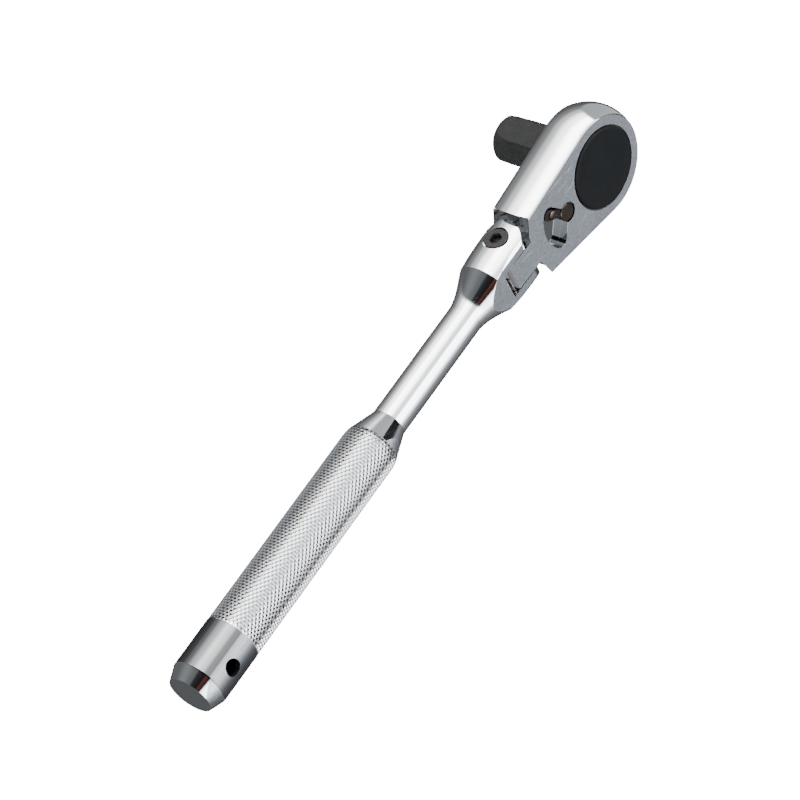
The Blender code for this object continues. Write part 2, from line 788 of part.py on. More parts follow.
def lever_core():
    """The hub and the shaft, with grooves for the seal and the ring."""
    seal_low = LEVER_SEAL_AT - LEVER_SEAL_GROOVE / 2
    seal_high = LEVER_SEAL_AT + LEVER_SEAL_GROOVE / 2
    seal_radius = LEVER_SHAFT_RADIUS - LEVER_SEAL_GROOVE
    ring_low = LEVER_RING_HEIGHT_AT - LEVER_RING_HEIGHT / 2 - FIT_GAP
    ring_high = LEVER_RING_HEIGHT_AT + LEVER_RING_HEIGHT / 2 + FIT_GAP
    ring_radius = lever_ring_inner() - FIT_GAP
    hub_low = POCKET_FLOOR + RUN_GAP
    hub_top = HEAD_FACE - FIT_GAP
    profile = [
        (0, SHAFT_BOTTOM),
        (LEVER_SHAFT_RADIUS, SHAFT_BOTTOM),
        (LEVER_SHAFT_RADIUS, ring_low),
        (ring_radius, ring_low),
        (ring_radius, ring_high),
        (LEVER_SHAFT_RADIUS, ring_high),
        (LEVER_SHAFT_RADIUS, seal_low),
        (seal_radius, seal_low),
        (seal_radius, seal_high),
        (LEVER_SHAFT_RADIUS, seal_high),
        (LEVER_SHAFT_RADIUS, hub_low),
        (LEVER_HUB_RADIUS, hub_low),
        (LEVER_HUB_RADIUS, hub_top),
        (0, hub_top),
    ]
    return revolve("reversing_lever", profile, origin=(-LEVER_DISTANCE, 0, 0), steps=40)


def lever_arm():
    """The flat arm, widening from a narrow neck at the hub to its round tip."""
    outline = arc((LEVER_TIP, 0), LEVER_TIP_RADIUS, -95, 95, 10)
    outline += [(0, LEVER_NECK_HALF_WIDTH), (0, -LEVER_NECK_HALF_WIDTH)]
    outline = turned(outline, math.degrees(THUMB_ANGLE), (0, 0))
    low = POCKET_FLOOR + RUN_GAP * 1.5
    return extrude("lever_arm", outline, low, low + LEVER_PLATE, "Z", (-LEVER_DISTANCE, 0, 0))


def lever_knob():
    x = -LEVER_DISTANCE + LEVER_ARM * math.cos(THUMB_ANGLE)
    y = LEVER_ARM * math.sin(THUMB_ANGLE)
    low = POCKET_FLOOR + LEVER_PLATE / 2
    top = POCKET_FLOOR + RUN_GAP * 1.5 + LEVER_PLATE + LEVER_KNOB_RISE
    profile = [
        (0, low),
        (LEVER_KNOB_RADIUS - 0.15 * MM, low),
        (LEVER_KNOB_RADIUS - 0.15 * MM, top - 0.7 * MM),
        (LEVER_KNOB_RADIUS - 0.5 * MM, top - 0.15 * MM),
        (0, top),
    ]
    return revolve("lever_knob", profile, origin=(x, y, 0), steps=24)


def make_lever(swing):
    lever = lever_core()
    join(lever, lever_arm(), lever_knob())
    start = PLUNGER_REACH - PLUNGER_LENGTH - PLUNGER_SPRING_LENGTH - FIT_GAP * 2
    bore = PLUNGER_RADIUS + FIT_GAP
    origin = Vector((-LEVER_DISTANCE, 0, PLUNGER_HEIGHT))
    cut(lever, cylinder("plunger_bore", bore, start, FAR / 10, PLUNGER_DIRECTION, origin, 20))
    return hang(coat(lever, "lever_black", (0.05, 0.045, 0.04), 0.8, 0.4), swing)


def make_lever_seal(swing):
    inner = LEVER_SHAFT_RADIUS - LEVER_SEAL_GROOVE + FIT_GAP / 2
    outer = LEVER_SHAFT_RADIUS + RUN_GAP - FIT_GAP / 2
    wire = min((outer - inner) / 2, LEVER_SEAL_GROOVE / 2 - FIT_GAP / 2)
    profile = arc((inner + wire, LEVER_SEAL_AT), wire, 0, 360, 8)[:-1]
    seal = revolve("lever_seal", profile, origin=(-LEVER_DISTANCE, 0, 0), steps=32)
    return hang(coat(seal, "lever_seal_rubber", (0.02, 0.02, 0.02), 0.0, 0.7), swing)


def make_lever_ring(flex):
    outline = ring_sector(lever_ring_inner(), lever_ring_outer(), 15, 24)
    low = LEVER_RING_HEIGHT_AT - LEVER_RING_HEIGHT / 2
    ring = extrude("lever_ring", outline, low, low + LEVER_RING_HEIGHT, "Z", (-LEVER_DISTANCE, 0, 0))
    return hang(spring_steel(ring), flex)


def make_plunger(push):
    tip = PLUNGER_REACH
    back = PLUNGER_REACH - PLUNGER_LENGTH
    profile = [
        (0, back),
        (PLUNGER_RADIUS, back),
        (PLUNGER_RADIUS, tip - 0.5 * MM),
        (PLUNGER_RADIUS - 0.35 * MM, tip - 0.1 * MM),
        (0, tip),
    ]
    origin = Vector((-LEVER_DISTANCE, 0, PLUNGER_HEIGHT))
    pin = revolve("pawl_plunger", profile, PLUNGER_DIRECTION, origin, 20)
    return hang(coat(pin, "plunger_steel", (0.5, 0.5, 0.5), 1.0, 0.25), push)


def make_plunger_spring(swing):
    back = PLUNGER_REACH - PLUNGER_LENGTH - PLUNGER_SPRING_LENGTH - FIT_GAP
    origin = Vector((-LEVER_DISTANCE, 0, PLUNGER_HEIGHT)) + PLUNGER_DIRECTION * back
    wire = 0.12 * MM
    spring = coil("plunger_spring", origin, PLUNGER_DIRECTION, PLUNGER_SPRING_LENGTH, 0.55 * MM, wire, 4)
    return hang(spring_steel(spring), swing)


# Handle.


def handle_profile():
    """The turned shape as (radius, distance behind the pivot) points, from the end face forward."""
    grip_end = GRIP_START + GRIP_LENGTH
    points = [
        (0, grip_end + END_LENGTH + END_CHAMFER_LENGTH),
        (END_FACE_RADIUS, grip_end + END_LENGTH + END_CHAMFER_LENGTH),
        (END_RADIUS, grip_end + END_LENGTH),
        (END_RADIUS, grip_end),
        (GRIP_RADIUS, grip_end - (END_RADIUS - GRIP_RADIUS)),
    ]
    cone = GRIP_START - GRIP_SHOULDER - SHANK_END
    drop = (GRIP_RADIUS - SHANK_RADIUS) / (1 + 2 * cone / GRIP_SHOULDER)
    for i in range(7):
        share = i / 6
        points.append((GRIP_RADIUS - drop * share**2, GRIP_START - GRIP_SHOULDER * share))
    points.append((SHANK_RADIUS, SHANK_END))
    for i in range(10):
        share = i / 9
        radius = SHANK_RADIUS + (FORK_EDGE_RADIUS - SHANK_RADIUS) * share**1.5
        points.append((radius, FORK_NECK_END + (FORK_EDGE - FORK_NECK_END) * share))
    for i in range(1, 6):
        share = i / 5
        radius = FORK_EDGE_RADIUS + (FORK_RADIUS - FORK_EDGE_RADIUS) * math.sin(share * math.pi / 2)
        points.append((radius, FORK_EDGE * (1 - share)))
    points.append((FORK_RADIUS, -EAR_END_RADIUS - 1 * MM))
    points.append((0, -EAR_END_RADIUS - 1 * MM))
    return points


def flats_cutter():
    """The ears' shape in front of the neck, widened to the whole handle behind it."""
    half = HEAD_THICKNESS / 2
    edge = math.degrees(math.asin(half / EAR_END_RADIUS))
    wide = FORK_RADIUS * 2
    back = -(FORK_NECK_END - 3 * MM)
    outline = arc((0, 0), EAR_END_RADIUS, -edge, edge, 16)
    outline += [(back, half), (back, wide), (-FAR * 4, wide), (-FAR * 4, -wide), (back, -wide), (back, -half)]
    return extrude("flats_form", outline, -FAR, FAR, "Y", PIVOT)


def slot_cutter():
    """The slot between the ears, its floor slightly hollow behind the tongue's end."""
    reach = TONGUE_END_RADIUS + SLOT_END_GAP
    turn = math.degrees(math.asin(reach / SLOT_FLOOR_RADIUS))
    outline = arc((SLOT_FLOOR_RADIUS - reach, 0), SLOT_FLOOR_RADIUS, 180 - turn, 180 + turn, 20)
    outline += [(FAR / 2, -reach), (FAR / 2, reach)]
    return extrude("slot_form", outline, -SLOT_HALF, SLOT_HALF, "Y", PIVOT)


def ear_chamfer(side, face):
    """What a chamfer takes off the edge between an ear's round side and one of its flats."""
    angle = side * math.radians(EAR_CHAMFER_ANGLE)
    across = Vector((math.cos(angle) * face, math.sin(angle)))
    along = Vector((-across.y, across.x))
    near = across * EAR_CHAMFER_DISTANCE
    far = across * FAR
    wide = along * FAR / 2
    outline = [near - wide, far - wide, far + wide, near + wide]
    back = -(FORK_NECK_END - 3 * MM)
    return extrude("ear_chamfer", [tuple(point) for point in outline], back, FAR, "X", PIVOT)


def make_handle():
    profile = [(radius, -distance) for radius, distance in handle_profile()]
    handle = revolve("handle", profile, (1, 0, 0), PIVOT, 56)
    tilt = math.radians(HANG_HOLE_TURN)
    hole_at = (-HANDLE_END + HANG_HOLE_FROM_END, 0, MID_HEIGHT)
    ball_bore = FLEX_BALL_RADIUS + RUN_GAP
    bore_start = FLEX_BALL_DISTANCE + FLEX_BALL_RADIUS + FLEX_SPRING_LENGTH + FIT_GAP * 3
    seat = PIVOT_HEAD_FACE - PIVOT_HEAD_DEPTH - FIT_GAP
    keep_inside(handle, flats_cutter())
    cut(handle, ear_chamfer(1, 1), ear_chamfer(-1, 1), ear_chamfer(1, -1), ear_chamfer(-1, -1))
    cut(
        handle,
        slot_cutter(),
        cylinder("screw_bore", PIVOT_SHANK_RADIUS + FIT_GAP, -FAR, FAR, (0, 1, 0), PIVOT),
        cylinder("screw_seat", PIVOT_HEAD_RADIUS + LOOSE_GAP, seat, FAR, (0, 1, 0), PIVOT),
        cylinder("hang_hole", HANG_HOLE_RADIUS, -FAR, FAR, (0, math.sin(tilt), math.cos(tilt)), hole_at, 36),
        cylinder(
            "ball_bore",
            ball_bore,
            -bore_start,
            -PIVOT_DISTANCE,
            (1, 0, 0),
            (0, 0, MID_HEIGHT),
            24,
        ),
    )
    return chrome(flexed(handle))


def make_pivot_screw():
    seat = PIVOT_HEAD_FACE - PIVOT_HEAD_DEPTH
    profile = [
        (0, -FORK_RADIUS + 0.8 * MM),
        (PIVOT_SHANK_RADIUS - 0.3 * MM, -FORK_RADIUS + 0.8 * MM),
        (PIVOT_SHANK_RADIUS, -FORK_RADIUS + 1.1 * MM),
        (PIVOT_SHANK_RADIUS, seat),
        (PIVOT_HEAD_RADIUS, seat),
        (PIVOT_HEAD_RADIUS, PIVOT_HEAD_FACE - 0.3 * MM),
        (PIVOT_HEAD_RADIUS - 0.3 * MM, PIVOT_HEAD_FACE),
        (0, PIVOT_HEAD_FACE),
    ]
    screw = revolve("pivot_screw", profile, (0, 1, 0), PIVOT, 40)
    socket = extrude(
        "screw_socket",
        polygon(PIVOT_SOCKET_FLATS, 6, 0),
        PIVOT_HEAD_FACE - PIVOT_SOCKET_DEPTH,
        FAR,
        "Y",
        PIVOT,
    )
    cut(screw, socket)
    return coat(flexed(screw), "screw_black", (0.06, 0.06, 0.06), 0.8, 0.45)


def make_flex_washer(side, flex):
    name = "flex_washer_left" if side > 0 else "flex_washer_right"
    low = TONGUE_WIDTH / 2 - FLEX_WASHER_SINK + FIT_GAP / 2
    high = low + FLEX_WASHER_THICKNESS
    inner = PIVOT_SHANK_RADIUS + RUN_GAP
    profile = [(inner, low), (FLEX_WASHER_RADIUS, low), (FLEX_WASHER_RADIUS, high), (inner, high)]
    return hang(spring_steel(revolve(name, profile, (0, side, 0), PIVOT, 40)), flex)


def make_flex_ball(push):
    sphere = flexed(ball("flex_ball", FLEX_BALL_RADIUS, (-FLEX_BALL_DISTANCE, 0, MID_HEIGHT)))
    return hang(coat(sphere, "ball_steel", (0.6, 0.6, 0.6), 1.0, 0.1), push)


def make_flex_spring():
    start = Vector((-FLEX_BALL_DISTANCE - FLEX_BALL_RADIUS - FLEX_SPRING_LENGTH - FIT_GAP, 0, MID_HEIGHT))
    spring = coil("flex_spring", start, (1, 0, 0), FLEX_SPRING_LENGTH, 1.05 * MM, 0.2 * MM, 5)
    return spring_steel(flexed(spring))


def main():
    for item in list(bpy.data.objects):
        bpy.data.objects.remove(item)
    flex = joint("flex_joint", PIVOT)
    drive = joint("drive_joint", (0, 0, MID_HEIGHT), flex)
    rock = joint("pawl_joint", PAWL_PIN, flex)
    swing = joint("lever_joint", LEVER, flex)
    push = joint("plunger_joint", LEVER, swing)
    ball_push = joint("flex_ball_joint", FLEX_PLACE @ Vector((-FLEX_BALL_DISTANCE, 0, MID_HEIGHT)))
    make_handle()
    make_pivot_screw()
    make_flex_ball(ball_push)
    make_flex_spring()
    make_head(flex)
    make_flex_washer(1, flex)
    make_flex_washer(-1, flex)
    make_cover(flex)
    make_snap_ring(flex)
    make_gasket(flex)
    make_thrust_washer(flex)
    make_gear(drive)
    make_drive_seal(drive)
    make_pawl(rock)
    make_pawl_pin(flex)
    make_lever(swing)
    make_lever_seal(swing)
    make_lever_ring(flex)
    make_plunger(push)
    make_plunger_spring(swing)


main()
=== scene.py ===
"""Looks for a flex-head ratchet wrench: turned and knurled chrome handle, satin head, dark cover and tang.

The frame's axes are kept: +X towards the head's nose, +Y towards the pivot screw, +Z towards the cover.
Each piece has an operator, and the panel in the 3D view's sidebar lists them all.
"""

import math

import bmesh
import bpy
from mathutils import Matrix, Vector


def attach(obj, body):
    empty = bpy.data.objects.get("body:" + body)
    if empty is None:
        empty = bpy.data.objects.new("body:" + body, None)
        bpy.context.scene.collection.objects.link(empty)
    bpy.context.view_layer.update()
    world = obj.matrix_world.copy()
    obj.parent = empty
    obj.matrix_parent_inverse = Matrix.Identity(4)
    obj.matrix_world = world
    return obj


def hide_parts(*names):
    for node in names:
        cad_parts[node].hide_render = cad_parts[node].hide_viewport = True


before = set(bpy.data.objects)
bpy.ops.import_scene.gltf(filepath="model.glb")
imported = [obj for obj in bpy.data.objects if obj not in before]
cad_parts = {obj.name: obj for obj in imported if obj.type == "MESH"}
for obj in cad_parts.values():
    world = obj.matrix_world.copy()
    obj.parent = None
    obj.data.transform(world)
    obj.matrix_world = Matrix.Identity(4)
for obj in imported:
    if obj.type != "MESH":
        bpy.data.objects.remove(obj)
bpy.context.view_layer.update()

bl_info = {
    "name": "Flex-head ratchet wrench",
    "version": (1, 0, 0),
    "blender": (4, 5, 0),
    "location": "View3D > Sidebar > Ratchet",
    "description": "Builds a flex-head ratchet wrench piece by piece, with its stage",
    "category": "Object",
}

MM = 0.001
FAR = 60 * MM

# Tones of the chrome.
CHROME = (0.80, 0.81, 0.82)
SATIN_DARK = (0.30, 0.32, 0.34)
SATIN_LIGHT = (0.42, 0.445, 0.47)
POCKET_TONE = (0.26, 0.27, 0.28)
END_TONE = (0.15, 0.155, 0.16)
# Painted shade: the knurl's grooves get this dark tone, where shade falls between the diamonds.
KNURL_GROOVE_SHADE = (0.17, 0.172, 0.178)
CREST_TONE = (0.70, 0.71, 0.725)

# Sizes that several pieces share.
HEAD_BACK = 24.3 * MM
HEAD_THICKNESS = 14.0 * MM
HEAD_FACE = HEAD_BACK + HEAD_THICKNESS
MID_HEIGHT = HEAD_BACK + HEAD_THICKNESS / 2
PIVOT = Vector((-41.3 * MM, 0, MID_HEIGHT))
LEVER_DISTANCE = 18.8 * MM
LEVER_HALF_SWING = 38.0
REST_FLEX = math.radians(2.878)
FLEX_TURN = Matrix.Rotation(REST_FLEX, 4, "Y")
FLEX_PLACE = Matrix.Translation(PIVOT) @ FLEX_TURN @ Matrix.Translation(-PIVOT)
TONGUE_HALF = 4.4 * MM
SLOT_HALF = 4.7 * MM
CAVITY_FLOOR = HEAD_BACK + 2.6 * MM
POCKET_FLOOR = HEAD_FACE - 2.9 * MM
CHAMBER_TOP = POCKET_FLOOR - 2.2 * MM
COVER_LEDGE = 35.8 * MM
RING_BOTTOM = 36.95 * MM
RING_TOP = 37.85 * MM
GEAR_BOTTOM = 27.05 * MM
SHANK_END = 64.9 * MM
SHOULDER_RISE = 3.0 * MM
NECK_BACK = 20.5 * MM
END_LENGTH = 21.45 * MM
KNURL_DEPTH = 0.38 * MM

# Zones of the masks: slack at a flat face, the lever's pocket, the plain end between two places along X.
FLAT_SLACK = 0.02 * MM
POCKET_ZONE_RADIUS = 11.3 * MM
POCKET_ZONE_DEPTH = 0.25 * MM
END_ZONE_FRONT = -187.5 * MM
END_ZONE_BACK = -204.4 * MM


# Sizes, kept as properties of the scene.


class HandleSizes(bpy.types.PropertyGroup):
    """Sizes of the handle."""

    grip_start: bpy.props.FloatProperty(
        name="Grip start",
        description="Distance from the pivot to the knurled grip",
        default=0.07625,
        unit="LENGTH",
    )
    grip_length: bpy.props.FloatProperty(
        name="Grip length",
        description="Length of the knurled grip",
        default=0.0704,
        unit="LENGTH",
    )
    grip_radius: bpy.props.FloatProperty(
        name="Grip radius",
        description="Radius over the knurl's crests",
        default=0.00875,
        unit="LENGTH",
    )
    shank_radius: bpy.props.FloatProperty(
        name="Shank radius",
        description="Radius of the thin shank",
        default=0.0055,
        unit="LENGTH",
    )
    edge_bevel: bpy.props.FloatProperty(
        name="Edge bevel",
        description="Width of the polished edge breaks",
        default=0.00025,
        unit="LENGTH",
    )


class KnurlSizes(bpy.types.PropertyGroup):
    """Sizes of the diamond knurl."""

    around: bpy.props.IntProperty(
        name="Diamonds around",
        description="Number of diamonds in one row around the grip",
        default=40,
    )
    rows: bpy.props.IntProperty(
        name="Rows",
        description="Number of rows of diamonds along the grip",
        default=73,
    )
    height: bpy.props.FloatProperty(
        name="Diamond height",
        description="Height of a diamond over the groove's floor",
        default=0.0004,
        unit="LENGTH",
    )


class HeadSizes(bpy.types.PropertyGroup):
    """Sizes of the head."""

    nose_radius: bpy.props.FloatProperty(
        name="Nose radius",
        description="Radius of the face's round nose",
        default=0.0166,
        unit="LENGTH",
    )
    side_bulge: bpy.props.FloatProperty(
        name="Side bulge",
        description="How far the side wall bulges past the faces",
        default=0.00179,
        unit="LENGTH",
    )
    edge_bevel: bpy.props.FloatProperty(
        name="Edge bevel",
        description="Width of the bright break around the faces",
        default=0.00035,
        unit="LENGTH",
    )


class StageSizes(bpy.types.PropertyGroup):
    """Sizes of the stage."""

    floor_height: bpy.props.FloatProperty(
        name="Floor height",
        description="Height of the pale floor",
        default=-0.14,
        unit="LENGTH",
    )
    light_power: bpy.props.FloatProperty(
        name="Light power",
        description="Power of the main softbox",
        default=9.0,
        unit="POWER",
    )


# Outlines, as lists of (u, v) points that run anticlockwise.


def arc(centre, radius, start, end, steps):
    points = []
    for i in range(steps + 1):
        angle = math.radians(start + (end - start) * i / steps)
        points.append((centre[0] + radius * math.cos(angle), centre[1] + radius * math.sin(angle)))
    return points


def circle(radius, steps=96, centre=(0, 0)):
    return arc(centre, radius, 0, 360, steps)[:-1]


def polygon(flats, sides, turn):
    return arc((0, 0), flats / 2 / math.cos(math.pi / sides), turn, turn + 360, sides)[:-1]


def turned(points, degrees):
    cosine = math.cos(math.radians(degrees))
    sine = math.sin(math.radians(degrees))
    return [(x * cosine - y * sine, x * sine + y * cosine) for x, y in points]


# Solids.


def link(name, data):
    item = bpy.data.objects.new(name, data)
    bpy.context.scene.collection.objects.link(item)
    return item


def finish_mesh(form, name):
    bmesh.ops.recalc_face_normals(form, faces=form.faces)
    mesh = bpy.data.meshes.new(name)
    form.to_mesh(mesh)
    form.free()
    return link(name, mesh)


def extrude(name, outline, low, high, axis="Z", origin=(0, 0, 0)):
    spot = {
        "Z": lambda u, v, h: (u, v, h),
        "Y": lambda u, v, h: (u, h, v),
        "X": lambda u, v, h: (h, u, v),
    }[axis]
    form = bmesh.new()
    bottom = [form.verts.new(Vector(origin) + Vector(spot(u, v, low))) for u, v in outline]
    top = [form.verts.new(Vector(origin) + Vector(spot(u, v, high))) for u, v in outline]
    form.faces.new(bottom)
    form.faces.new(top)
    for i in range(len(outline)):
        j = (i + 1) % len(outline)
        form.faces.new((bottom[i], bottom[j], top[j], top[i]))
    return finish_mesh(form, name)


def revolve(name, profile, direction=(0, 0, 1), origin=(0, 0, 0), steps=96):
    turn = Vector((0, 0, 1)).rotation_difference(Vector(direction)).to_matrix().to_4x4()
    form = bmesh.new()
    rings = []
    for radius, height in profile:
        if radius < 1e-9:
            rings.append([form.verts.new((0, 0, height))] * steps)
        else:
            rings.append([form.verts.new((u, v, height)) for u, v in circle(radius, steps)])
    closed = profile[0][0] > 1e-9 and profile[-1][0] > 1e-9
    pairs = list(zip(rings, rings[1:])) + ([(rings[-1], rings[0])] if closed else [])
    for low, high in pairs:
        for i in range(steps):
            j = (i + 1) % steps
            form.faces.new(list(dict.fromkeys([low[i], low[j], high[j], high[i]])))
    form.transform(Matrix.Translation(Vector(origin)) @ turn)
    return finish_mesh(form, name)


def cylinder(name, radius, low, high, direction=(0, 0, 1), origin=(0, 0, 0), steps=96):
    return revolve(name, [(0, low), (radius, low), (radius, high), (0, high)], direction, origin, steps)


def combine(item, other, operation):
    """Applies a Boolean and deletes the other shape."""
    modifier = item.modifiers.new(operation.title(), "BOOLEAN")
    modifier.operation = operation
    modifier.object = other
    modifier.solver = "EXACT"
    bake(item)
    bpy.data.objects.remove(other)
    return item


def bake(item):
    """Replaces the mesh with its modified shape and clears the modifiers."""
    graph = bpy.context.evaluated_depsgraph_get()
    mesh = bpy.data.meshes.new_from_object(item.evaluated_get(graph))
    item.modifiers.clear()
    item.data = mesh
    return item


def cut(item, *cutters):
    for cutter in cutters:
        combine(item, cutter, "DIFFERENCE")
    return item


def join(item, *others):
    for other in others:
        combine(item, other, "UNION")
    return item


def keep_inside(item, other):
    return combine(item, other, "INTERSECT")


def clean(item, merge=0.00001):
    form = bmesh.new()
    form.from_mesh(item.data)
    bmesh.ops.remove_doubles(form, verts=form.verts, dist=merge)
    bmesh.ops.dissolve_limit(
        form, angle_limit=math.radians(0.5), verts=form.verts, edges=form.edges, delimit={"MATERIAL"}
    )
    form.to_mesh(item.data)
    form.free()
    return item


def soften(item, width, segments=2, angle=38, sharp=34):
    """Breaks the sharp edges and shades the rest smooth."""
    clean(item)
    modifier = item.modifiers.new("Edge breaks", "BEVEL")
    modifier.width = width
    modifier.segments = segments
    modifier.limit_method = "ANGLE"
    modifier.angle_limit = math.radians(angle)
    modifier.use_clamp_overlap = True
    modifier.harden_normals = False
    bake(item)
    item.data.shade_smooth()
    item.data.set_sharp_from_angle(angle=math.radians(sharp))
    weighted = item.modifiers.new("Even shading", "WEIGHTED_NORMAL")
    weighted.keep_sharp = True
    weighted.weight = 80
    return bake(item)


def flexed(item):
    """Turns a straight piece of the handle to the flex joint's rest angle."""
    item.data.transform(FLEX_PLACE)
    return item


def place(item, body, node):
    """Sets a finished piece on its body, in place of its plain node."""
    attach(item, body)
    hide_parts(node)
    return item


# Shader groups: they give out colours, masks and normals only.


def socket(tree, name, kind, way="INPUT", default=None):
    made = tree.interface.new_socket(name, in_out=way, socket_type=kind)
    if default is not None:
        made.default_value = default
    return made


def maths(tree, operation, *values):
    """One step of arithmetic; each value is a socket or a number."""
    node = tree.nodes.new("ShaderNodeMath")
    node.operation = operation
    for k, value in enumerate(values):
        if isinstance(value, (int, float)):
            node.inputs[k].default_value = value
        else:
            tree.links.new(value, node.inputs[k])
    return node.outputs[0]


def vector_maths(tree, operation, first, second):
    """One step on vectors; the first is a socket, the second a socket or a vector."""
    node = tree.nodes.new("ShaderNodeVectorMath")
    node.operation = operation
    tree.links.new(first, node.inputs[0])
    if isinstance(second, bpy.types.NodeSocket):
        tree.links.new(second, node.inputs[1])
    else:
        node.inputs[1].default_value = second
    return node


def object_coords(tree):
    return tree.nodes.new("ShaderNodeTexCoord").outputs["Object"]


def noise(tree, vector, scale, detail):
    node = tree.nodes.new("ShaderNodeTexNoise")
    node.inputs["Scale"].default_value = scale
    node.inputs["Detail"].default_value = detail
    tree.links.new(vector, node.inputs["Vector"])
    return node


def new_group(name):
    """A shader group of this name: the one that is there, or an empty one to fill."""
    found = bpy.data.node_groups.get(name)
    return found or bpy.data.node_groups.new(name, "ShaderNodeTree"), found is None


def blend(tree, factor, first, second):
    """A colour between two; each is a socket or a colour."""
    node = tree.nodes.new("ShaderNodeMix")
    node.data_type = "RGBA"
    tree.links.new(factor, node.inputs["Factor"])
    for side, value in (("A", first), ("B", second)):
        if isinstance(value, bpy.types.NodeSocket):
            tree.links.new(value, node.inputs[side])
        else:
            node.inputs[side].default_value = (*value, 1)
    return node.outputs["Result"]


def wear_group():
    """Scratches, smudges and grain: a roughness shift, a mask and a height."""
    tree, empty = new_group("Metal wear")
    if not empty:
        return tree
    socket(tree, "Scale", "NodeSocketFloat", default=1.0)
    socket(tree, "Roughness", "NodeSocketFloat", default=0.1)
    socket(tree, "Spread", "NodeSocketFloat", default=0.08)
    socket(tree, "Roughness", "NodeSocketFloat", "OUTPUT")
    socket(tree, "Mask", "NodeSocketFloat", "OUTPUT")
    socket(tree, "Height", "NodeSocketFloat", "OUTPUT")
    links = tree.links
    given = tree.nodes.new("NodeGroupInput")
    out = tree.nodes.new("NodeGroupOutput")
    scaled = tree.nodes.new("ShaderNodeVectorMath")
    scaled.operation = "SCALE"
    links.new(object_coords(tree), scaled.inputs[0])
    links.new(given.outputs["Scale"], scaled.inputs["Scale"])
    smudge = noise(tree, scaled.outputs[0], 90, 5)
    smudge.inputs["Roughness"].default_value = 0.6
    grain = noise(tree, scaled.outputs[0], 2600, 3)
    stretch = tree.nodes.new("ShaderNodeMapping")
    stretch.inputs["Scale"].default_value = (0.12, 1, 1)
    stretch.inputs["Rotation"].default_value = (0.3, 0.2, 0.5)
    links.new(scaled.outputs[0], stretch.inputs["Vector"])
    scratch = noise(tree, stretch.outputs[0], 1100, 2)
    lines = tree.nodes.new("ShaderNodeMapRange")
    lines.inputs["From Min"].default_value = 0.62
    lines.inputs["From Max"].default_value = 0.74
    links.new(scratch.outputs["Fac"], lines.inputs["Value"])
    centred = maths(tree, "SUBTRACT", smudge.outputs["Fac"], 0.5)
    spread = maths(tree, "MULTIPLY", centred, given.outputs["Spread"])
    lined = maths(tree, "MULTIPLY_ADD", lines.outputs[0], 0.05, spread)
    total = maths(tree, "ADD", lined, given.outputs["Roughness"])
    total.node.use_clamp = True
    height = maths(tree, "SUBTRACT", grain.outputs["Fac"], lines.outputs[0])
    links.new(total, out.inputs["Roughness"])
    links.new(lines.outputs[0], out.inputs["Mask"])
    links.new(height, out.inputs["Height"])
    return tree


def flat_group():
    """A mask of the two flat faces square to a direction, at the head's thickness from the pivot."""
    tree, empty = new_group("Flat faces")
    if not empty:
        return tree
    socket(tree, "Middle", "NodeSocketVector", default=tuple(PIVOT))
    socket(tree, "Direction", "NodeSocketVector", default=(0, 0, 1))
    socket(tree, "Half", "NodeSocketFloat", default=HEAD_THICKNESS / 2)
    socket(tree, "Mask", "NodeSocketFloat", "OUTPUT")
    given = tree.nodes.new("NodeGroupInput")
    out = tree.nodes.new("NodeGroupOutput")
    away = vector_maths(tree, "SUBTRACT", object_coords(tree), given.outputs["Middle"])
    height = vector_maths(tree, "DOT_PRODUCT", away.outputs[0], given.outputs["Direction"])
    gap = maths(tree, "SUBTRACT", maths(tree, "ABSOLUTE", height.outputs["Value"]), given.outputs["Half"])
    tree.links.new(maths(tree, "GREATER_THAN", gap, -FLAT_SLACK), out.inputs["Mask"])
    return tree


def base_material(name, metallic):
    made = bpy.data.materials.new(name)
    made.use_nodes = True
    shader = made.node_tree.nodes["Principled BSDF"]
    shader.inputs["Metallic"].default_value = metallic
    return made, shader


def add_wear(made, shader, scale, roughness, spread, bump):
    nodes = made.node_tree.nodes
    links = made.node_tree.links
    wear = nodes.new("ShaderNodeGroup")
    wear.node_tree = wear_group()
    wear.inputs["Scale"].default_value = scale
    wear.inputs["Roughness"].default_value = roughness
    wear.inputs["Spread"].default_value = spread
    links.new(wear.outputs["Roughness"], shader.inputs["Roughness"])
    relief = nodes.new("ShaderNodeBump")
    relief.inputs["Strength"].default_value = bump
    relief.inputs["Distance"].default_value = 0.00004
    links.new(wear.outputs["Height"], relief.inputs["Height"])
    links.new(relief.outputs[0], shader.inputs["Normal"])
    return wear, relief


def worn_metal(name, colour, second, metallic=1.0, roughness=0.3, spread=0.2, bump=0.2, shine=0.5):
    """A metal whose colour drifts between two tones, with scratches and grain."""
    made, shader = base_material(name + "_look", metallic)
    tree = made.node_tree
    add_wear(made, shader, 1.0, roughness, spread, bump)
    shader.inputs["Specular IOR Level"].default_value = shine
    cloud = noise(tree, object_coords(tree), 240, 6)
    tree.links.new(blend(tree, cloud.outputs["Fac"], colour, second), shader.inputs["Base Color"])
    return made


def zone_tree(name):
    """A mask group; if it is new, its output node and the object coordinates too."""
    tree, empty = new_group(name)
    if not empty:
        return tree, None, None
    socket(tree, "Mask", "NodeSocketFloat", "OUTPUT")
    split = tree.nodes.new("ShaderNodeSeparateXYZ")
    tree.links.new(object_coords(tree), split.inputs[0])
    return tree, tree.nodes.new("NodeGroupOutput"), split.outputs


def pocket_group():
    """A mask of what lies near the lever's axis and under the face."""
    tree, out, at = zone_tree("Lever pocket")
    if out:
        x = maths(tree, "ADD", at["X"], LEVER_DISTANCE)
        squares = maths(tree, "ADD", maths(tree, "MULTIPLY", x, x), maths(tree, "POWER", at["Y"], 2))
        near = maths(tree, "LESS_THAN", squares, POCKET_ZONE_RADIUS**2)
        under = maths(tree, "LESS_THAN", at["Z"], HEAD_FACE - POCKET_ZONE_DEPTH)
        tree.links.new(maths(tree, "MULTIPLY", near, under), out.inputs[0])
    return tree


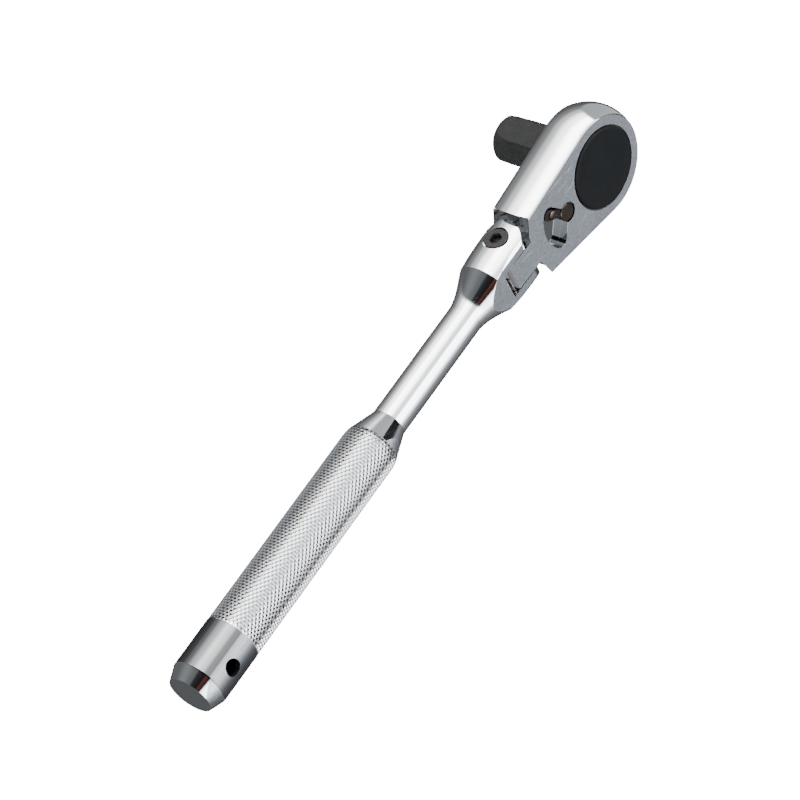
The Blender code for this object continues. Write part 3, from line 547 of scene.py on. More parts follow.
def end_group():
    """A mask of the plain end of the handle, between the knurl and the end's chamfer."""
    tree, out, at = zone_tree("Handle end")
    if out:
        behind = maths(tree, "LESS_THAN", at["X"], END_ZONE_FRONT)
        before = maths(tree, "GREATER_THAN", at["X"], END_ZONE_BACK)
        tree.links.new(maths(tree, "MULTIPLY", behind, before), out.inputs[0])
    return tree


def chrome_material(name, direction, zone, zone_colour):
    """Polished chrome, satin on the two flat faces square to a direction, with another tone in one zone."""
    made, shader = base_material(name + "_look", 1.0)
    tree = made.node_tree
    links = tree.links
    wear, relief = add_wear(made, shader, 1.0, 0.07, 0.06, 0.02)
    mask = tree.nodes.new("ShaderNodeGroup")
    mask.node_tree = flat_group()
    mask.inputs["Direction"].default_value = direction
    grain = noise(tree, object_coords(tree), 1500, 4)
    satin = tree.nodes.new("ShaderNodeValToRGB")
    for stop, position, colour in zip(satin.color_ramp.elements, (0.3, 0.7), (SATIN_DARK, SATIN_LIGHT)):
        stop.position = position
        stop.color = (*colour, 1)
    links.new(grain.outputs["Fac"], satin.inputs["Fac"])
    tones = blend(tree, mask.outputs["Mask"], CHROME, satin.outputs["Color"])
    zone_mask = tree.nodes.new("ShaderNodeGroup")
    zone_mask.node_tree = zone
    links.new(blend(tree, zone_mask.outputs["Mask"], tones, zone_colour), shader.inputs["Base Color"])
    rough = maths(tree, "MULTIPLY_ADD", mask.outputs["Mask"], 0.27, wear.outputs["Roughness"])
    links.new(rough, shader.inputs["Roughness"])
    links.new(maths(tree, "MULTIPLY_ADD", mask.outputs["Mask"], 0.6, 0.02), relief.inputs["Strength"])
    return made


def coat(item, material):
    item.data.materials.clear()
    item.data.materials.append(material)
    return item


# Handle.


def grip_shoulder(sizes):
    """The length and the drop of the round shoulder that runs into the cone in front of the grip."""
    cone = sizes.grip_start - SHOULDER_RISE - SHANK_END
    return SHOULDER_RISE, (sizes.grip_radius - sizes.shank_radius) / (1 + 2 * cone / SHOULDER_RISE)


def handle_profile(sizes):
    """(radius, height) points, height running forward from the pivot."""
    grip_end = sizes.grip_start + sizes.grip_length
    core = sizes.grip_radius - KNURL_DEPTH
    end = grip_end + END_LENGTH
    end_radius = 8.87 * MM
    fork_back = 23.5 * MM
    fork_middle = 11.6 * MM
    fork_radius = 9.55 * MM
    fork_swell = 0.8 * MM
    fork_front = 8.3 * MM
    points = [(0, -end), (0.0069, -end), (0.00712, -end + 0.0001)]
    points += [(0.00878, -end + 0.0047), (end_radius, -end + 0.0052)]
    points += [(end_radius, -grip_end - 0.0002), (0.0087, -grip_end), (core, -grip_end)]
    rise, drop = grip_shoulder(sizes)
    for i in range(13):
        share = i / 12
        sink = 0.0004 if share < 0.95 else 0
        points.append((sizes.grip_radius - drop * share**2 - sink, rise * share - sizes.grip_start))
    points.append((sizes.shank_radius, -SHANK_END))
    for i in range(21):
        share = i / 20
        radius = sizes.shank_radius + (fork_radius - sizes.shank_radius) * share**1.5
        points.append((radius, -(fork_back + (fork_middle - fork_back) * share)))
    for i in range(1, 13):
        share = i / 12
        radius = fork_radius + fork_swell * math.sin(share * math.pi / 2)
        points.append((radius, -fork_middle * (1 - share)))
    widest = fork_radius + fork_swell
    points += [(widest, fork_front), (0, fork_front)]
    return points


def flats_form():
    """The ears' side view in front of the neck, and everything behind it."""
    half = HEAD_THICKNESS / 2
    radius = 7.3 * MM
    edge = math.degrees(math.asin(half / radius))
    back = -NECK_BACK
    wide = 21 * MM
    outline = arc((0, 0), radius, -edge, edge, 24)
    outline += [(back, half), (back, wide), (-FAR * 4, wide)]
    outline += [(-FAR * 4, -wide), (back, -wide), (back, -half)]
    return extrude("flats_form", outline, -FAR, FAR, "Y", PIVOT)


def slot_form():
    """The fork's slot, with a round floor."""
    reach = 9.9 * MM
    bend = 21.7 * MM
    turn = math.degrees(math.asin(reach / bend))
    outline = arc((bend - reach, 0), bend, 180 - turn, 180 + turn, 40)
    outline += [(FAR / 2, -reach), (FAR / 2, reach)]
    return extrude("slot_form", outline, -SLOT_HALF, SLOT_HALF, "Y", PIVOT)


def ear_chamfer(side, face):
    """What a chamfer takes off the edge between an ear's round side and one of its flats."""
    angle = side * math.radians(66)
    distance = 9.21 * MM
    across = Vector((math.cos(angle) * face, math.sin(angle)))
    along = Vector((-across.y, across.x))
    near = across * distance
    far = across * FAR
    wide = along * FAR / 2
    outline = [near - wide, far - wide, far + wide, near + wide]
    return extrude("ear_chamfer", [tuple(point) for point in outline], -NECK_BACK, FAR, "X", PIVOT)


def build_handle(sizes):
    handle = revolve("handle_turned", handle_profile(sizes), (1, 0, 0), PIVOT, 160)
    tilt = math.radians(13)
    hole_at = (PIVOT.x - sizes.grip_start - sizes.grip_length - END_LENGTH + 11.8 * MM, 0, MID_HEIGHT)
    hole = cylinder("hang_hole", 2.65 * MM, -FAR, FAR, (0, math.sin(tilt), math.cos(tilt)), hole_at, 64)
    keep_inside(handle, flats_form())
    for side, face in ((1, 1), (-1, 1), (1, -1), (-1, -1)):
        cut(handle, ear_chamfer(side, face))
    cut(
        handle,
        slot_form(),
        cylinder("screw_bore", 2.5 * MM, -FAR, FAR, (0, 1, 0), PIVOT, 64),
        cylinder("screw_seat", 4.1 * MM, 7.5 * MM, FAR, (0, 1, 0), PIVOT, 72),
        hole,
        cylinder("ball_bore", 1.65 * MM, -58.6 * MM, -45 * MM, (1, 0, 0), (0, 0, MID_HEIGHT), 48),
    )
    soften(handle, sizes.edge_bevel, sharp=14)
    coat(handle, chrome_material("handle_chrome", FLEX_TURN @ Vector((0, 0, 1)), end_group(), END_TONE))
    return place(flexed(handle), "handle_body", "handle")


# Knurl.


def knurl_tree():
    """Truncated diamonds in staggered rows on a round bar that eases down to the shank at its front."""
    tree = bpy.data.node_groups.new("Diamond knurl", "GeometryNodeTree")
    tree.interface.new_socket("Geometry", in_out="INPUT", socket_type="NodeSocketGeometry")
    for name, kind, default in (
        ("Around", "NodeSocketInt", 40),
        ("Rows", "NodeSocketInt", 73),
        ("Length", "NodeSocketFloat", 0.07),
        ("Straight", "NodeSocketFloat", 0.07),
        ("Radius", "NodeSocketFloat", 0.0084),
        ("Shoulder", "NodeSocketFloat", 0.003),
        ("Drop", "NodeSocketFloat", 0.0005),
        ("Height", "NodeSocketFloat", 0.0004),
        ("Centre", "NodeSocketVector", (0, 0, 0)),
        ("Material", "NodeSocketMaterial", None),
    ):
        made = tree.interface.new_socket(name, in_out="INPUT", socket_type=kind)
        if default is not None:
            made.default_value = default
    tree.interface.new_socket("Geometry", in_out="OUTPUT", socket_type="NodeSocketGeometry")
    nodes = tree.nodes
    links = tree.links
    given = nodes.new("NodeGroupInput")
    out = nodes.new("NodeGroupOutput")

    def math_node(operation, *values):
        return maths(tree, operation, *values)

    count = math_node("MULTIPLY", given.outputs["Around"], given.outputs["Rows"])
    points = nodes.new("GeometryNodePoints")
    links.new(count, points.inputs["Count"])
    index = nodes.new("GeometryNodeInputIndex").outputs[0]
    row = math_node("FLOOR", math_node("DIVIDE", index, given.outputs["Around"]))
    column = math_node("MODULO", index, given.outputs["Around"])
    shift = math_node("MULTIPLY", math_node("MODULO", row, 2), 0.5)
    turn = math_node("DIVIDE", math_node("ADD", column, shift), given.outputs["Around"])
    angle = math_node("MULTIPLY", turn, 2 * math.pi)
    step = math_node("DIVIDE", given.outputs["Length"], given.outputs["Rows"])
    along = math_node("MULTIPLY", math_node("ADD", row, 0.5), step)
    past = math_node("MAXIMUM", math_node("SUBTRACT", along, given.outputs["Straight"]), 0)
    share = math_node("DIVIDE", past, given.outputs["Shoulder"])
    sunk = math_node("MULTIPLY", math_node("MULTIPLY", share, share), given.outputs["Drop"])
    radius = math_node("SUBTRACT", given.outputs["Radius"], sunk)
    where = nodes.new("ShaderNodeCombineXYZ")
    links.new(along, where.inputs["X"])
    links.new(math_node("MULTIPLY", radius, math_node("COSINE", angle)), where.inputs["Y"])
    links.new(math_node("MULTIPLY", radius, math_node("SINE", angle)), where.inputs["Z"])
    moved = vector_maths(tree, "ADD", where.outputs[0], given.outputs["Centre"])
    setter = nodes.new("GeometryNodeSetPosition")
    links.new(points.outputs[0], setter.inputs["Geometry"])
    links.new(moved.outputs[0], setter.inputs["Position"])

    # One diamond: a four-sided cone, its corners along and around the bar, its axis outward.
    diamond = nodes.new("GeometryNodeMeshCone")
    diamond.inputs["Vertices"].default_value = 4
    diamond.inputs["Radius Top"].default_value = 0.3
    diamond.inputs["Radius Bottom"].default_value = 1.0
    diamond.inputs["Depth"].default_value = 1.0
    half_round = math_node("DIVIDE", math_node("MULTIPLY", radius, math.pi), given.outputs["Around"])
    size = nodes.new("ShaderNodeCombineXYZ")
    links.new(math_node("MULTIPLY", step, 0.985), size.inputs["X"])
    links.new(math_node("MULTIPLY", half_round, 0.985), size.inputs["Y"])
    links.new(given.outputs["Height"], size.inputs["Z"])
    spin = nodes.new("ShaderNodeCombineXYZ")
    links.new(math_node("SUBTRACT", angle, math.pi / 2), spin.inputs["X"])
    facing = nodes.new("FunctionNodeEulerToRotation")
    links.new(spin.outputs[0], facing.inputs[0])
    copies = nodes.new("GeometryNodeInstanceOnPoints")
    links.new(setter.outputs[0], copies.inputs["Points"])
    links.new(diamond.outputs["Mesh"], copies.inputs["Instance"])
    links.new(facing.outputs[0], copies.inputs["Rotation"])
    links.new(size.outputs[0], copies.inputs["Scale"])
    real = nodes.new("GeometryNodeRealizeInstances")
    links.new(copies.outputs[0], real.inputs[0])
    painted = nodes.new("GeometryNodeSetMaterial")
    links.new(real.outputs[0], painted.inputs["Geometry"])
    links.new(given.outputs["Material"], painted.inputs["Material"])
    links.new(painted.outputs[0], out.inputs[0])
    return tree


def build_knurl(sizes, handle):
    knurl = finish_mesh(bmesh.new(), "grip_knurl")
    modifier = knurl.modifiers.new("Diamond knurl", "NODES")
    tree = knurl_tree()
    modifier.node_group = tree
    ids = {}
    for item in tree.interface.items_tree:
        if item.in_out == "INPUT":
            ids[item.name] = item.identifier
    inset = 0.0006
    run_on = 0.0026
    start = PIVOT.x - handle.grip_start - handle.grip_length + inset
    shoulder, drop = grip_shoulder(handle)
    values = {
        "Around": sizes.around,
        "Rows": sizes.rows,
        "Length": handle.grip_length + run_on,
        "Straight": handle.grip_length - inset,
        "Radius": handle.grip_radius - KNURL_DEPTH,
        "Shoulder": shoulder,
        "Drop": drop,
        "Height": sizes.height,
        "Centre": (start, 0, MID_HEIGHT),
        "Material": knurl_material(),
    }
    for name, value in values.items():
        modifier[ids[name]] = value
    knurl.update_tag()
    bpy.context.view_layer.update()
    flexed(bake(knurl))
    knurl.data.shade_flat()
    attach(knurl, "handle_body")
    return knurl


def knurl_material():
    """Dull chrome with painted shade: dark in the grooves, where shade falls, and light on the crests."""
    made, shader = base_material("knurl_chrome", 1.0)
    tree = made.node_tree
    add_wear(made, shader, 1.0, 0.16, 0.1, 0.05)
    away = vector_maths(tree, "SUBTRACT", object_coords(tree), tuple(PIVOT))
    across = vector_maths(tree, "CROSS_PRODUCT", away.outputs[0], FLEX_TURN @ Vector((1, 0, 0)))
    radius = tree.nodes.new("ShaderNodeVectorMath")
    radius.operation = "LENGTH"
    tree.links.new(across.outputs[0], radius.inputs[0])
    # Painted shade: the colour darkens from the crests down to the groove's floor.
    groove_shade_ramp = tree.nodes.new("ShaderNodeMapRange")
    groove_shade_ramp.inputs["From Min"].default_value = 8.39 * MM
    groove_shade_ramp.inputs["From Max"].default_value = 8.51 * MM
    tree.links.new(radius.outputs["Value"], groove_shade_ramp.inputs["Value"])
    tree.links.new(blend(tree, groove_shade_ramp.outputs[0], KNURL_GROOVE_SHADE, CREST_TONE), shader.inputs["Base Color"])
    return made


# Head.


def head_outline(nose):
    """The face's edge, anticlockwise from the lower shoulder."""
    taper = 8.6
    turn = 90 + taper
    slope = math.tan(math.radians(taper))
    touch = nose * math.cos(math.radians(turn)), nose * math.sin(math.radians(turn))
    upper = arc((0, 0), nose, 0, turn, 72)
    back = -35.78 * MM
    for i in range(1, 17):
        x = touch[0] + (back - touch[0]) * i / 16
        upper.append((x, touch[1] + (x - touch[0]) * slope))
    lower = [(x, -y) for x, y in reversed(upper)]
    return lower + upper[1:]


def head_shell(sizes):
    """The bulging side wall, with a narrow break at each face."""
    outline = head_outline(sizes.nose_radius)
    count = len(outline)
    normals = []
    for i in range(count):
        run = (Vector(outline[min(i + 1, count - 1)]) - Vector(outline[max(i - 1, 0)])).normalized()
        normals.append((run.y, -run.x))
    steps = 22
    half = HEAD_THICKNESS / 2
    edge = sizes.edge_bevel
    rings = [(-edge, -half)]
    for k in range(steps + 1):
        share = -1 + 2 * k / steps
        rings.append((sizes.side_bulge * (1 - share**2), share * (half - edge)))
    rings.append((-edge, half))
    form = bmesh.new()
    layers = []
    for bulge, height in rings:
        layer = []
        for (x, y), (nx, ny) in zip(outline, normals):
            layer.append(form.verts.new((x + nx * bulge, y + ny * bulge, MID_HEIGHT + height)))
        layers.append(layer)
    form.faces.new(layers[0])
    form.faces.new(layers[-1])
    for low, high in zip(layers, layers[1:]):
        for i in range(count):
            j = (i + 1) % count
            form.faces.new((low[i], low[j], high[j], high[i]))
    return finish_mesh(form, "head_polished")


def scoop_form(side):
    """The hollow that an ear turns in. On the screw's side it closes again towards the wall."""
    radius = 9.2 * MM
    lip = 7.1 * MM
    flare = 0.18
    profile = [(0, TONGUE_HALF), (radius, TONGUE_HALF)]
    if side > 0:
        profile += [(radius, TONGUE_HALF + 1.9 * MM), (radius + 2.0 * MM, TONGUE_HALF + 7.5 * MM)]
        profile += [(lip, TONGUE_HALF + 9.3 * MM), (lip, FAR / 2)]
    else:
        profile.append((radius + (FAR / 2 - TONGUE_HALF) * flare, FAR / 2))
    profile.append((0, FAR / 2))
    return revolve("scoop_form", profile, (0, side, 0), PIVOT, 144)


def tongue_form():
    half = HEAD_THICKNESS / 2
    radius = 8.6 * MM
    root = 13 * MM
    edge = math.degrees(math.asin(half / radius))
    outline = arc((0, 0), radius, 180 - edge, 180 + edge, 28) + [(root, -half), (root, half)]
    return extrude("tongue_form", outline, -TONGUE_HALF, TONGUE_HALF, "Y", PIVOT)


def head_bore():
    """The journal's bore, the gear's room, and the cover's recess with its ring groove."""
    journal = 8.85 * MM
    room = 11.0 * MM
    recess = 13.3 * MM
    groove = 13.6 * MM
    profile = [(0, 0), (journal, 0), (journal, CAVITY_FLOOR), (room, CAVITY_FLOOR), (room, COVER_LEDGE)]
    profile += [(recess, COVER_LEDGE), (recess, RING_BOTTOM), (groove, RING_BOTTOM), (groove, RING_TOP)]
    profile += [(recess, RING_TOP), (recess, FAR), (0, FAR)]
    return revolve("head_bore", profile, steps=144)


def pocket_form():
    """The lever's pocket: a round seat and a fan with round corners."""
    corner = 2.5 * MM
    seat = 3.3 * MM
    fan = 11.0 * MM
    reach = fan - corner
    spread = LEVER_HALF_SWING + math.degrees(2.2 / 6.4)
    turn = math.radians(spread) - corner / reach
    middle = 180 - math.degrees(turn)
    points = arc((0, 0), seat, -115, 115, 32)
    centre = (-reach * math.cos(turn), reach * math.sin(turn))
    points += arc(centre, corner, middle - 95, middle, 12)
    points += arc((0, 0), fan, middle, 360 - middle, 24)[1:-1]
    points += arc((centre[0], -centre[1]), corner, -middle, 95 - middle, 12)
    return extrude("pocket_form", points, POCKET_FLOOR, FAR, "Z", (-LEVER_DISTANCE, 0, 0))


def box_form(low, high):
    outline = [(low[0], low[1]), (high[0], low[1]), (high[0], high[1]), (low[0], high[1])]
    return extrude("box_form", outline, low[2], high[2])


def build_head(sizes):
    head = head_shell(sizes)
    lever_at = (-LEVER_DISTANCE, 0, 0)
    join(head, tongue_form())
    cut(head, scoop_form(1), scoop_form(-1))
    for side in (1, -1):
        cut(head, cylinder("washer_seat", 4.9 * MM, 4.05 * MM, FAR, (0, side, 0), PIVOT, 64))
    cut(
        head,
        cylinder("pivot_bore", 2.55 * MM, -FAR, FAR, (0, 1, 0), PIVOT, 64),
        head_bore(),
        box_form((-17.0 * MM, -7.6 * MM, CAVITY_FLOOR), (-5.25 * MM, 7.6 * MM, CHAMBER_TOP)),
        pocket_form(),
        cylinder("lever_bore", 2.45 * MM, 25.45 * MM, FAR, origin=lever_at, steps=64),
        cylinder("pin_bore", 1.0 * MM, 0, 34.3 * MM, origin=(-13.0 * MM, 0, 0), steps=40),
    )
    soften(head, 0.00018)
    coat(head, chrome_material("head_chrome", (0, 0, 1), pocket_group(), POCKET_TONE))
    return place(head, "head_body", "head_housing")


# Cover.


def build_cover():
    top = HEAD_FACE + 0.5 * MM
    bottom = 36.4 * MM
    edge = 12.85 * MM
    groove = 12.1 * MM
    profile = [(0, bottom), (edge, bottom), (edge, RING_BOTTOM), (groove, RING_BOTTOM), (groove, RING_TOP)]
    profile += [(edge, RING_TOP), (edge, top - 0.42 * MM), (edge - 0.1 * MM, top - 0.25 * MM)]
    profile += [(edge - 0.3 * MM, top - 0.04 * MM), (edge - 0.5 * MM, top)]
    profile += [(edge - 1.0 * MM, top - 0.02 * MM), (6.0 * MM, top - 0.03 * MM), (0, top - 0.03 * MM)]
    cover = revolve("cover_disc", profile, steps=192)
    cover.data.shade_smooth()
    cover.data.set_sharp_from_angle(angle=math.radians(40))
    dark = (0.0035, 0.0037, 0.004)
    light = (0.0055, 0.0058, 0.0062)
    coat(cover, worn_metal("cover_black", dark, light, 0.0, 0.42, 0.2, 0.3, 0.06))
    return place(cover, "head_body", "cover_plate")


# Drive tang and gear.


def millimetres(*points):
    return [(radius * MM, height * MM) for radius, height in points]


def gear_outline():
    points = []
    teeth = 60
    root = 9.9 * MM
    tip = 10.5 * MM
    for i in range(teeth):
        for k, radius in ((0, root), (1, tip)):
            angle = (2 * i + k) * math.pi / teeth
            points.append((radius * math.cos(angle), radius * math.sin(angle)))
    return points


def build_drive():
    gear = extrude("gear_and_tang", gear_outline(), GEAR_BOTTOM, 35.2 * MM)
    core = millimetres((0, 23.4), (8.4, 23.4), (8.7, 23.7), (8.7, 25.2), (7.95, 25.2), (7.95, 26.0))
    core += millimetres((8.7, 26.0), (8.7, 35.0), (5.4, 35.0), (5.4, 36.1), (0, 36.1))
    join(gear, revolve("gear_core", core, steps=96))
    bar = extrude("tang_bar", polygon(14.0 * MM, 6, 8.7), 0, 24.0 * MM)
    turning = millimetres((0, 0), (6.5, 0), (7.25, 0.8), (8.083, 7.0), (9.5, 17.6), (9.5, 30), (0, 30))
    keep_inside(bar, revolve("tang_turning", turning, steps=144))
    join(gear, bar)
    soften(gear, 0.00022)
    dark = (0.003, 0.0031, 0.0031)
    light = (0.006, 0.006, 0.006)
    coat(gear, worn_metal("gear_black", dark, light, 0.0, 0.36, 0.2, 0.4, 0.14))
    return place(gear, "drive_body", "drive_gear")


# Reversing lever.


def build_lever():
    at = (-LEVER_DISTANCE, 0, 0)
    shaft = 2.3 * MM
    groove = 1.75 * MM
    boss = 2.85 * MM
    core = [(0, 25.6 * MM), (shaft, 25.6 * MM)]
    for low, high in ((33.4 * MM, 34.1 * MM), (34.525 * MM, 35.075 * MM)):
        core += [(shaft, low), (groove, low), (groove, high), (shaft, high)]
    top = HEAD_FACE - 0.1 * MM
    core += [(shaft, POCKET_FLOOR + 0.15 * MM), (boss, POCKET_FLOOR + 0.15 * MM)]
    core += [(boss, top - 0.2 * MM), (boss - 0.2 * MM, top), (0, top)]
    lever = revolve("lever_cast", core, origin=at, steps=64)
    outline = arc((8.1 * MM, 0), 1.75 * MM, -95, 95, 20) + [(0, 0.95 * MM), (0, -0.95 * MM)]
    angle = 180 - LEVER_HALF_SWING
    low = POCKET_FLOOR + 0.225 * MM
    join(lever, extrude("lever_arm", turned(outline, angle), low, low + 2.1 * MM, "Z", at))
    knob_at = turned([(6.4 * MM, 0)], angle)[0]
    knob_bottom = POCKET_FLOOR + 1.05 * MM
    knob = [(0, knob_bottom), (1.6 * MM, knob_bottom), (1.6 * MM, low + 2.3 * MM)]
    knob += [(1.45 * MM, low + 2.55 * MM), (1.1 * MM, low + 2.7 * MM), (0, low + 2.8 * MM)]
    join(lever, revolve("knob", knob, origin=(knob_at[0] - LEVER_DISTANCE, knob_at[1], 0), steps=48))
    reach = turned([(1, 0)], angle - 180)[0]
    middle = (GEAR_BOTTOM + CHAMBER_TOP - 0.15 * MM) / 2
    bore_at = Vector((-LEVER_DISTANCE, 0, middle))
    cut(lever, cylinder("plunger_bore", 0.9 * MM, -1.1 * MM, 6 * MM, (*reach, 0), bore_at, 40))
    soften(lever, 0.00018)
    dark = (0.010, 0.008, 0.007)
    bare = (0.10, 0.078, 0.064)
    coat(lever, worn_metal("lever_black", dark, bare, 0.9, 0.22, 0.2, 0.3))
    return place(lever, "lever_body", "reversing_lever")


# Pivot screw.


def build_screw():
    profile = millimetres((0, -9.55), (2.1, -9.55), (2.4, -9.25), (2.4, 7.6), (3.8, 7.6), (3.8, 9.9))
    profile += millimetres((3.7, 10.1), (3.5, 10.2), (0, 10.2))
    screw = revolve("pivot_socket_screw", profile, (0, 1, 0), PIVOT, 96)
    socket_form = extrude("socket_form", polygon(3.5 * MM, 6, 0), 8.4 * MM, FAR, "Y", PIVOT)
    cone = millimetres((0, 9.9), (1.75, 9.9), (2.2, 10.35), (2.2, 11), (0, 11))
    countersink = revolve("countersink", cone, (0, 1, 0), PIVOT, 64)
    cut(screw, socket_form, countersink)
    soften(screw, 0.00008)
    dark = (0.010, 0.0098, 0.0095)
    light = (0.02, 0.019, 0.018)
    coat(screw, worn_metal("screw_black", dark, light, 0.5, 0.4, 0.2, 0.3, 0.15))
    return place(flexed(screw), "handle_body", "pivot_screw")


# The inner pieces keep their own shapes: (colour, second colour, metallic, roughness).

INNER = {
    "flex_ball": ((0.62, 0.62, 0.63), (0.50, 0.50, 0.51), 1.0, 0.12),
    "flex_spring": ((0.50, 0.51, 0.53), (0.38, 0.39, 0.41), 1.0, 0.28),
    "flex_washer_left": ((0.55, 0.56, 0.58), (0.42, 0.42, 0.43), 1.0, 0.3),
    "flex_washer_right": ((0.55, 0.56, 0.58), (0.42, 0.42, 0.43), 1.0, 0.3),
    "cover_snap_ring": ((0.06, 0.065, 0.07), (0.03, 0.03, 0.03), 0.8, 0.4),
    "cover_gasket": ((0.02, 0.02, 0.02), (0.035, 0.035, 0.035), 0.0, 0.8),
    "thrust_washer": ((0.72, 0.50, 0.22), (0.55, 0.36, 0.15), 1.0, 0.35),
    "drive_seal": ((0.015, 0.015, 0.015), (0.03, 0.03, 0.03), 0.0, 0.6),
    "pawl": ((0.30, 0.30, 0.31), (0.20, 0.20, 0.20), 1.0, 0.35),
    "pawl_pin": ((0.55, 0.56, 0.58), (0.45, 0.45, 0.46), 1.0, 0.25),
    "pawl_plunger": ((0.5, 0.5, 0.5), (0.4, 0.4, 0.4), 1.0, 0.25),
    "plunger_spring": ((0.50, 0.51, 0.53), (0.38, 0.39, 0.41), 1.0, 0.28),
    "lever_seal": ((0.015, 0.015, 0.015), (0.03, 0.03, 0.03), 0.0, 0.6),
    "lever_ring": ((0.45, 0.46, 0.48), (0.35, 0.35, 0.36), 1.0, 0.3),
}


def finish_inner():
    for name, (colour, second, metallic, roughness) in INNER.items():
        finish = worn_metal(name + "_finish", colour, second, metallic, roughness, 0.15, 0.2)
        coat(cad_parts[name], finish)


# Stage: floor, sky, softboxes and camera.


def floor_piece(sizes):
    half = 1.6
    outline = [(-half, -half), (half, -half), (half, half), (-half, half)]
    floor = extrude("floor", outline, sizes.floor_height - 2 * MM, sizes.floor_height)
    made, shader = base_material("floor_pale", 0.0)
    tree = made.node_tree
    cloud = noise(tree, object_coords(tree), 3, 2)
    tones = blend(tree, cloud.outputs["Fac"], (0.90, 0.90, 0.90), (0.92, 0.92, 0.92))
    tree.links.new(tones, shader.inputs["Base Color"])
    shader.inputs["Roughness"].default_value = 0.9
    shader.inputs["Emission Color"].default_value = (1, 1, 1, 1)
    shader.inputs["Emission Strength"].default_value = 14.0
    coat(floor, made)
    floor.visible_glossy = False


# Stops of the sky's bands, as (place, colour): around the X axis beside and behind, and across it in front.
SIDE_BANDS = (
    (0.00, (0.06, 0.062, 0.065)),
    (0.12, (0.14, 0.145, 0.15)),
    (0.19, (0.30, 0.31, 0.32)),
    (0.25, (1.0, 1.0, 1.0)),
    (0.33, (4.5, 4.5, 4.4)),
    (0.39, (11.0, 11.0, 10.8)),
    (0.44, (8.0, 8.1, 8.0)),
    (0.49, (2.4, 2.5, 2.55)),
    (0.535, (2.0, 2.1, 2.2)),
    (0.57, (10.0, 10.2, 10.5)),
    (0.65, (9.0, 9.2, 9.6)),
    (0.70, (2.0, 2.1, 2.3)),
    (0.75, (0.42, 0.44, 0.47)),
    (0.82, (0.20, 0.21, 0.22)),
    (0.90, (0.12, 0.12, 0.13)),
    (1.00, (0.06, 0.062, 0.065)),
)
BACK_BANDS = (
    (0.00, (0.11, 0.115, 0.12)),
    (0.18, (0.14, 0.145, 0.15)),
    (0.30, (0.26, 0.28, 0.29)),
    (0.40, (0.16, 0.17, 0.18)),
    (0.44, (0.03, 0.03, 0.032)),
    (0.50, (0.015, 0.014, 0.014)),
    (0.52, (0.14, 0.04, 0.035)),
    (0.54, (0.06, 0.02, 0.02)),
    (0.56, (0.02, 0.018, 0.018)),
    (0.59, (5.0, 5.1, 5.2)),
    (0.66, (6.0, 6.1, 6.3)),
    (0.72, (0.8, 0.82, 0.85)),
    (0.80, (0.2, 0.2, 0.21)),
    (1.00, (0.11, 0.115, 0.12)),
)
FRONT_BANDS = (
    (0.00, (0.30, 0.31, 0.32)),
    (0.30, (0.55, 0.58, 0.60)),
    (0.56, (0.65, 0.68, 0.69)),
    (0.585, (0.01, 0.01, 0.01)),
    (0.85, (0.012, 0.012, 0.013)),
    (0.88, (0.22, 0.22, 0.23)),
    (1.00, (0.15, 0.15, 0.16)),
)


def add_bands(tree, stops, value):
    """A colour ramp with these stops, read at a value from 0 to 1."""
    bands = tree.nodes.new("ShaderNodeValToRGB")
    bands.color_ramp.interpolation = "EASE"
    ramp = bands.color_ramp.elements
    while len(ramp) < len(stops):
        ramp.new(0.5)
    for stop, (position, colour) in zip(ramp, stops):
        stop.position = position
    for stop, (position, colour) in zip(ramp, stops):
        stop.color = (*colour, 1)
    tree.links.new(value, bands.inputs["Fac"])
    return bands.outputs["Color"]


def add_step(tree, value, low, high):
    """A soft step from 0 at low to 1 at high."""
    step = tree.nodes.new("ShaderNodeMapRange")
    step.interpolation_type = "SMOOTHSTEP"
    step.inputs["From Min"].default_value = low
    step.inputs["From Max"].default_value = high
    tree.links.new(value, step.inputs["Value"])
    return step.outputs[0]


def studio_sky():
    """Soft bands around the X axis, other ones behind, and a dark flag in front."""
    world = bpy.data.worlds.new("studio")
    bpy.context.scene.world = world
    world.use_nodes = True
    tree = world.node_tree
    sky = tree.nodes["Background"]
    outward = tree.nodes.new("ShaderNodeTexCoord").outputs["Generated"]
    split = tree.nodes.new("ShaderNodeSeparateXYZ")
    tree.links.new(outward, split.inputs[0])
    along = split.outputs["X"]
    angle = maths(tree, "ARCTAN2", split.outputs["Z"], split.outputs["Y"])
    turn = maths(tree, "DIVIDE", angle, 2 * math.pi)
    around = maths(tree, "FRACT", maths(tree, "ADD", turn, 138 / 360))
    aside = vector_maths(tree, "DOT_PRODUCT", outward, (0, -0.665, 0.747))
    across = maths(tree, "MULTIPLY_ADD", aside.outputs["Value"], 0.5, 0.5)
    side = add_bands(tree, SIDE_BANDS, around)
    back = add_bands(tree, BACK_BANDS, around)
    front = add_bands(tree, FRONT_BANDS, across)
    shaded = blend(tree, add_step(tree, along, 0.06, -0.04), side, back)
    shaded = blend(tree, add_step(tree, along, 0.77, 0.83), shaded, front)
    tree.links.new(shaded, sky.inputs["Color"])
    sky.inputs["Strength"].default_value = 1.0


def softbox(name, location, target, size, power):
    data = bpy.data.lights.new(name, "AREA")
    data.shape = "RECTANGLE"
    data.size = size[0]
    data.size_y = size[1]
    data.energy = power
    item = link(name, data)
    item.visible_glossy = False
    item.location = location
    aim = Vector(target) - Vector(location)
    item.rotation_euler = aim.to_track_quat("-Z", "Y").to_euler()
    return item


def stage_camera():
    data = bpy.data.cameras.new("camera")
    data.lens = 198.53
    data.sensor_width = 36
    data.clip_end = 20
    item = link("camera", data)
    item.location = (-0.5736614, 0.8906377, 0.8280586)
    item.rotation_euler = (math.radians(-23.6131), math.radians(-47.5146), math.radians(-31.2180))
    bpy.context.scene.camera = item


def build_stage(sizes):
    floor_piece(sizes)
    studio_sky()
    softbox("key", (-0.3, 0.5, 0.9), (-0.1, 0, 0.03), (0.5, 0.5), sizes.light_power)
    stage_camera()


# Operators, the panel and the order of work.


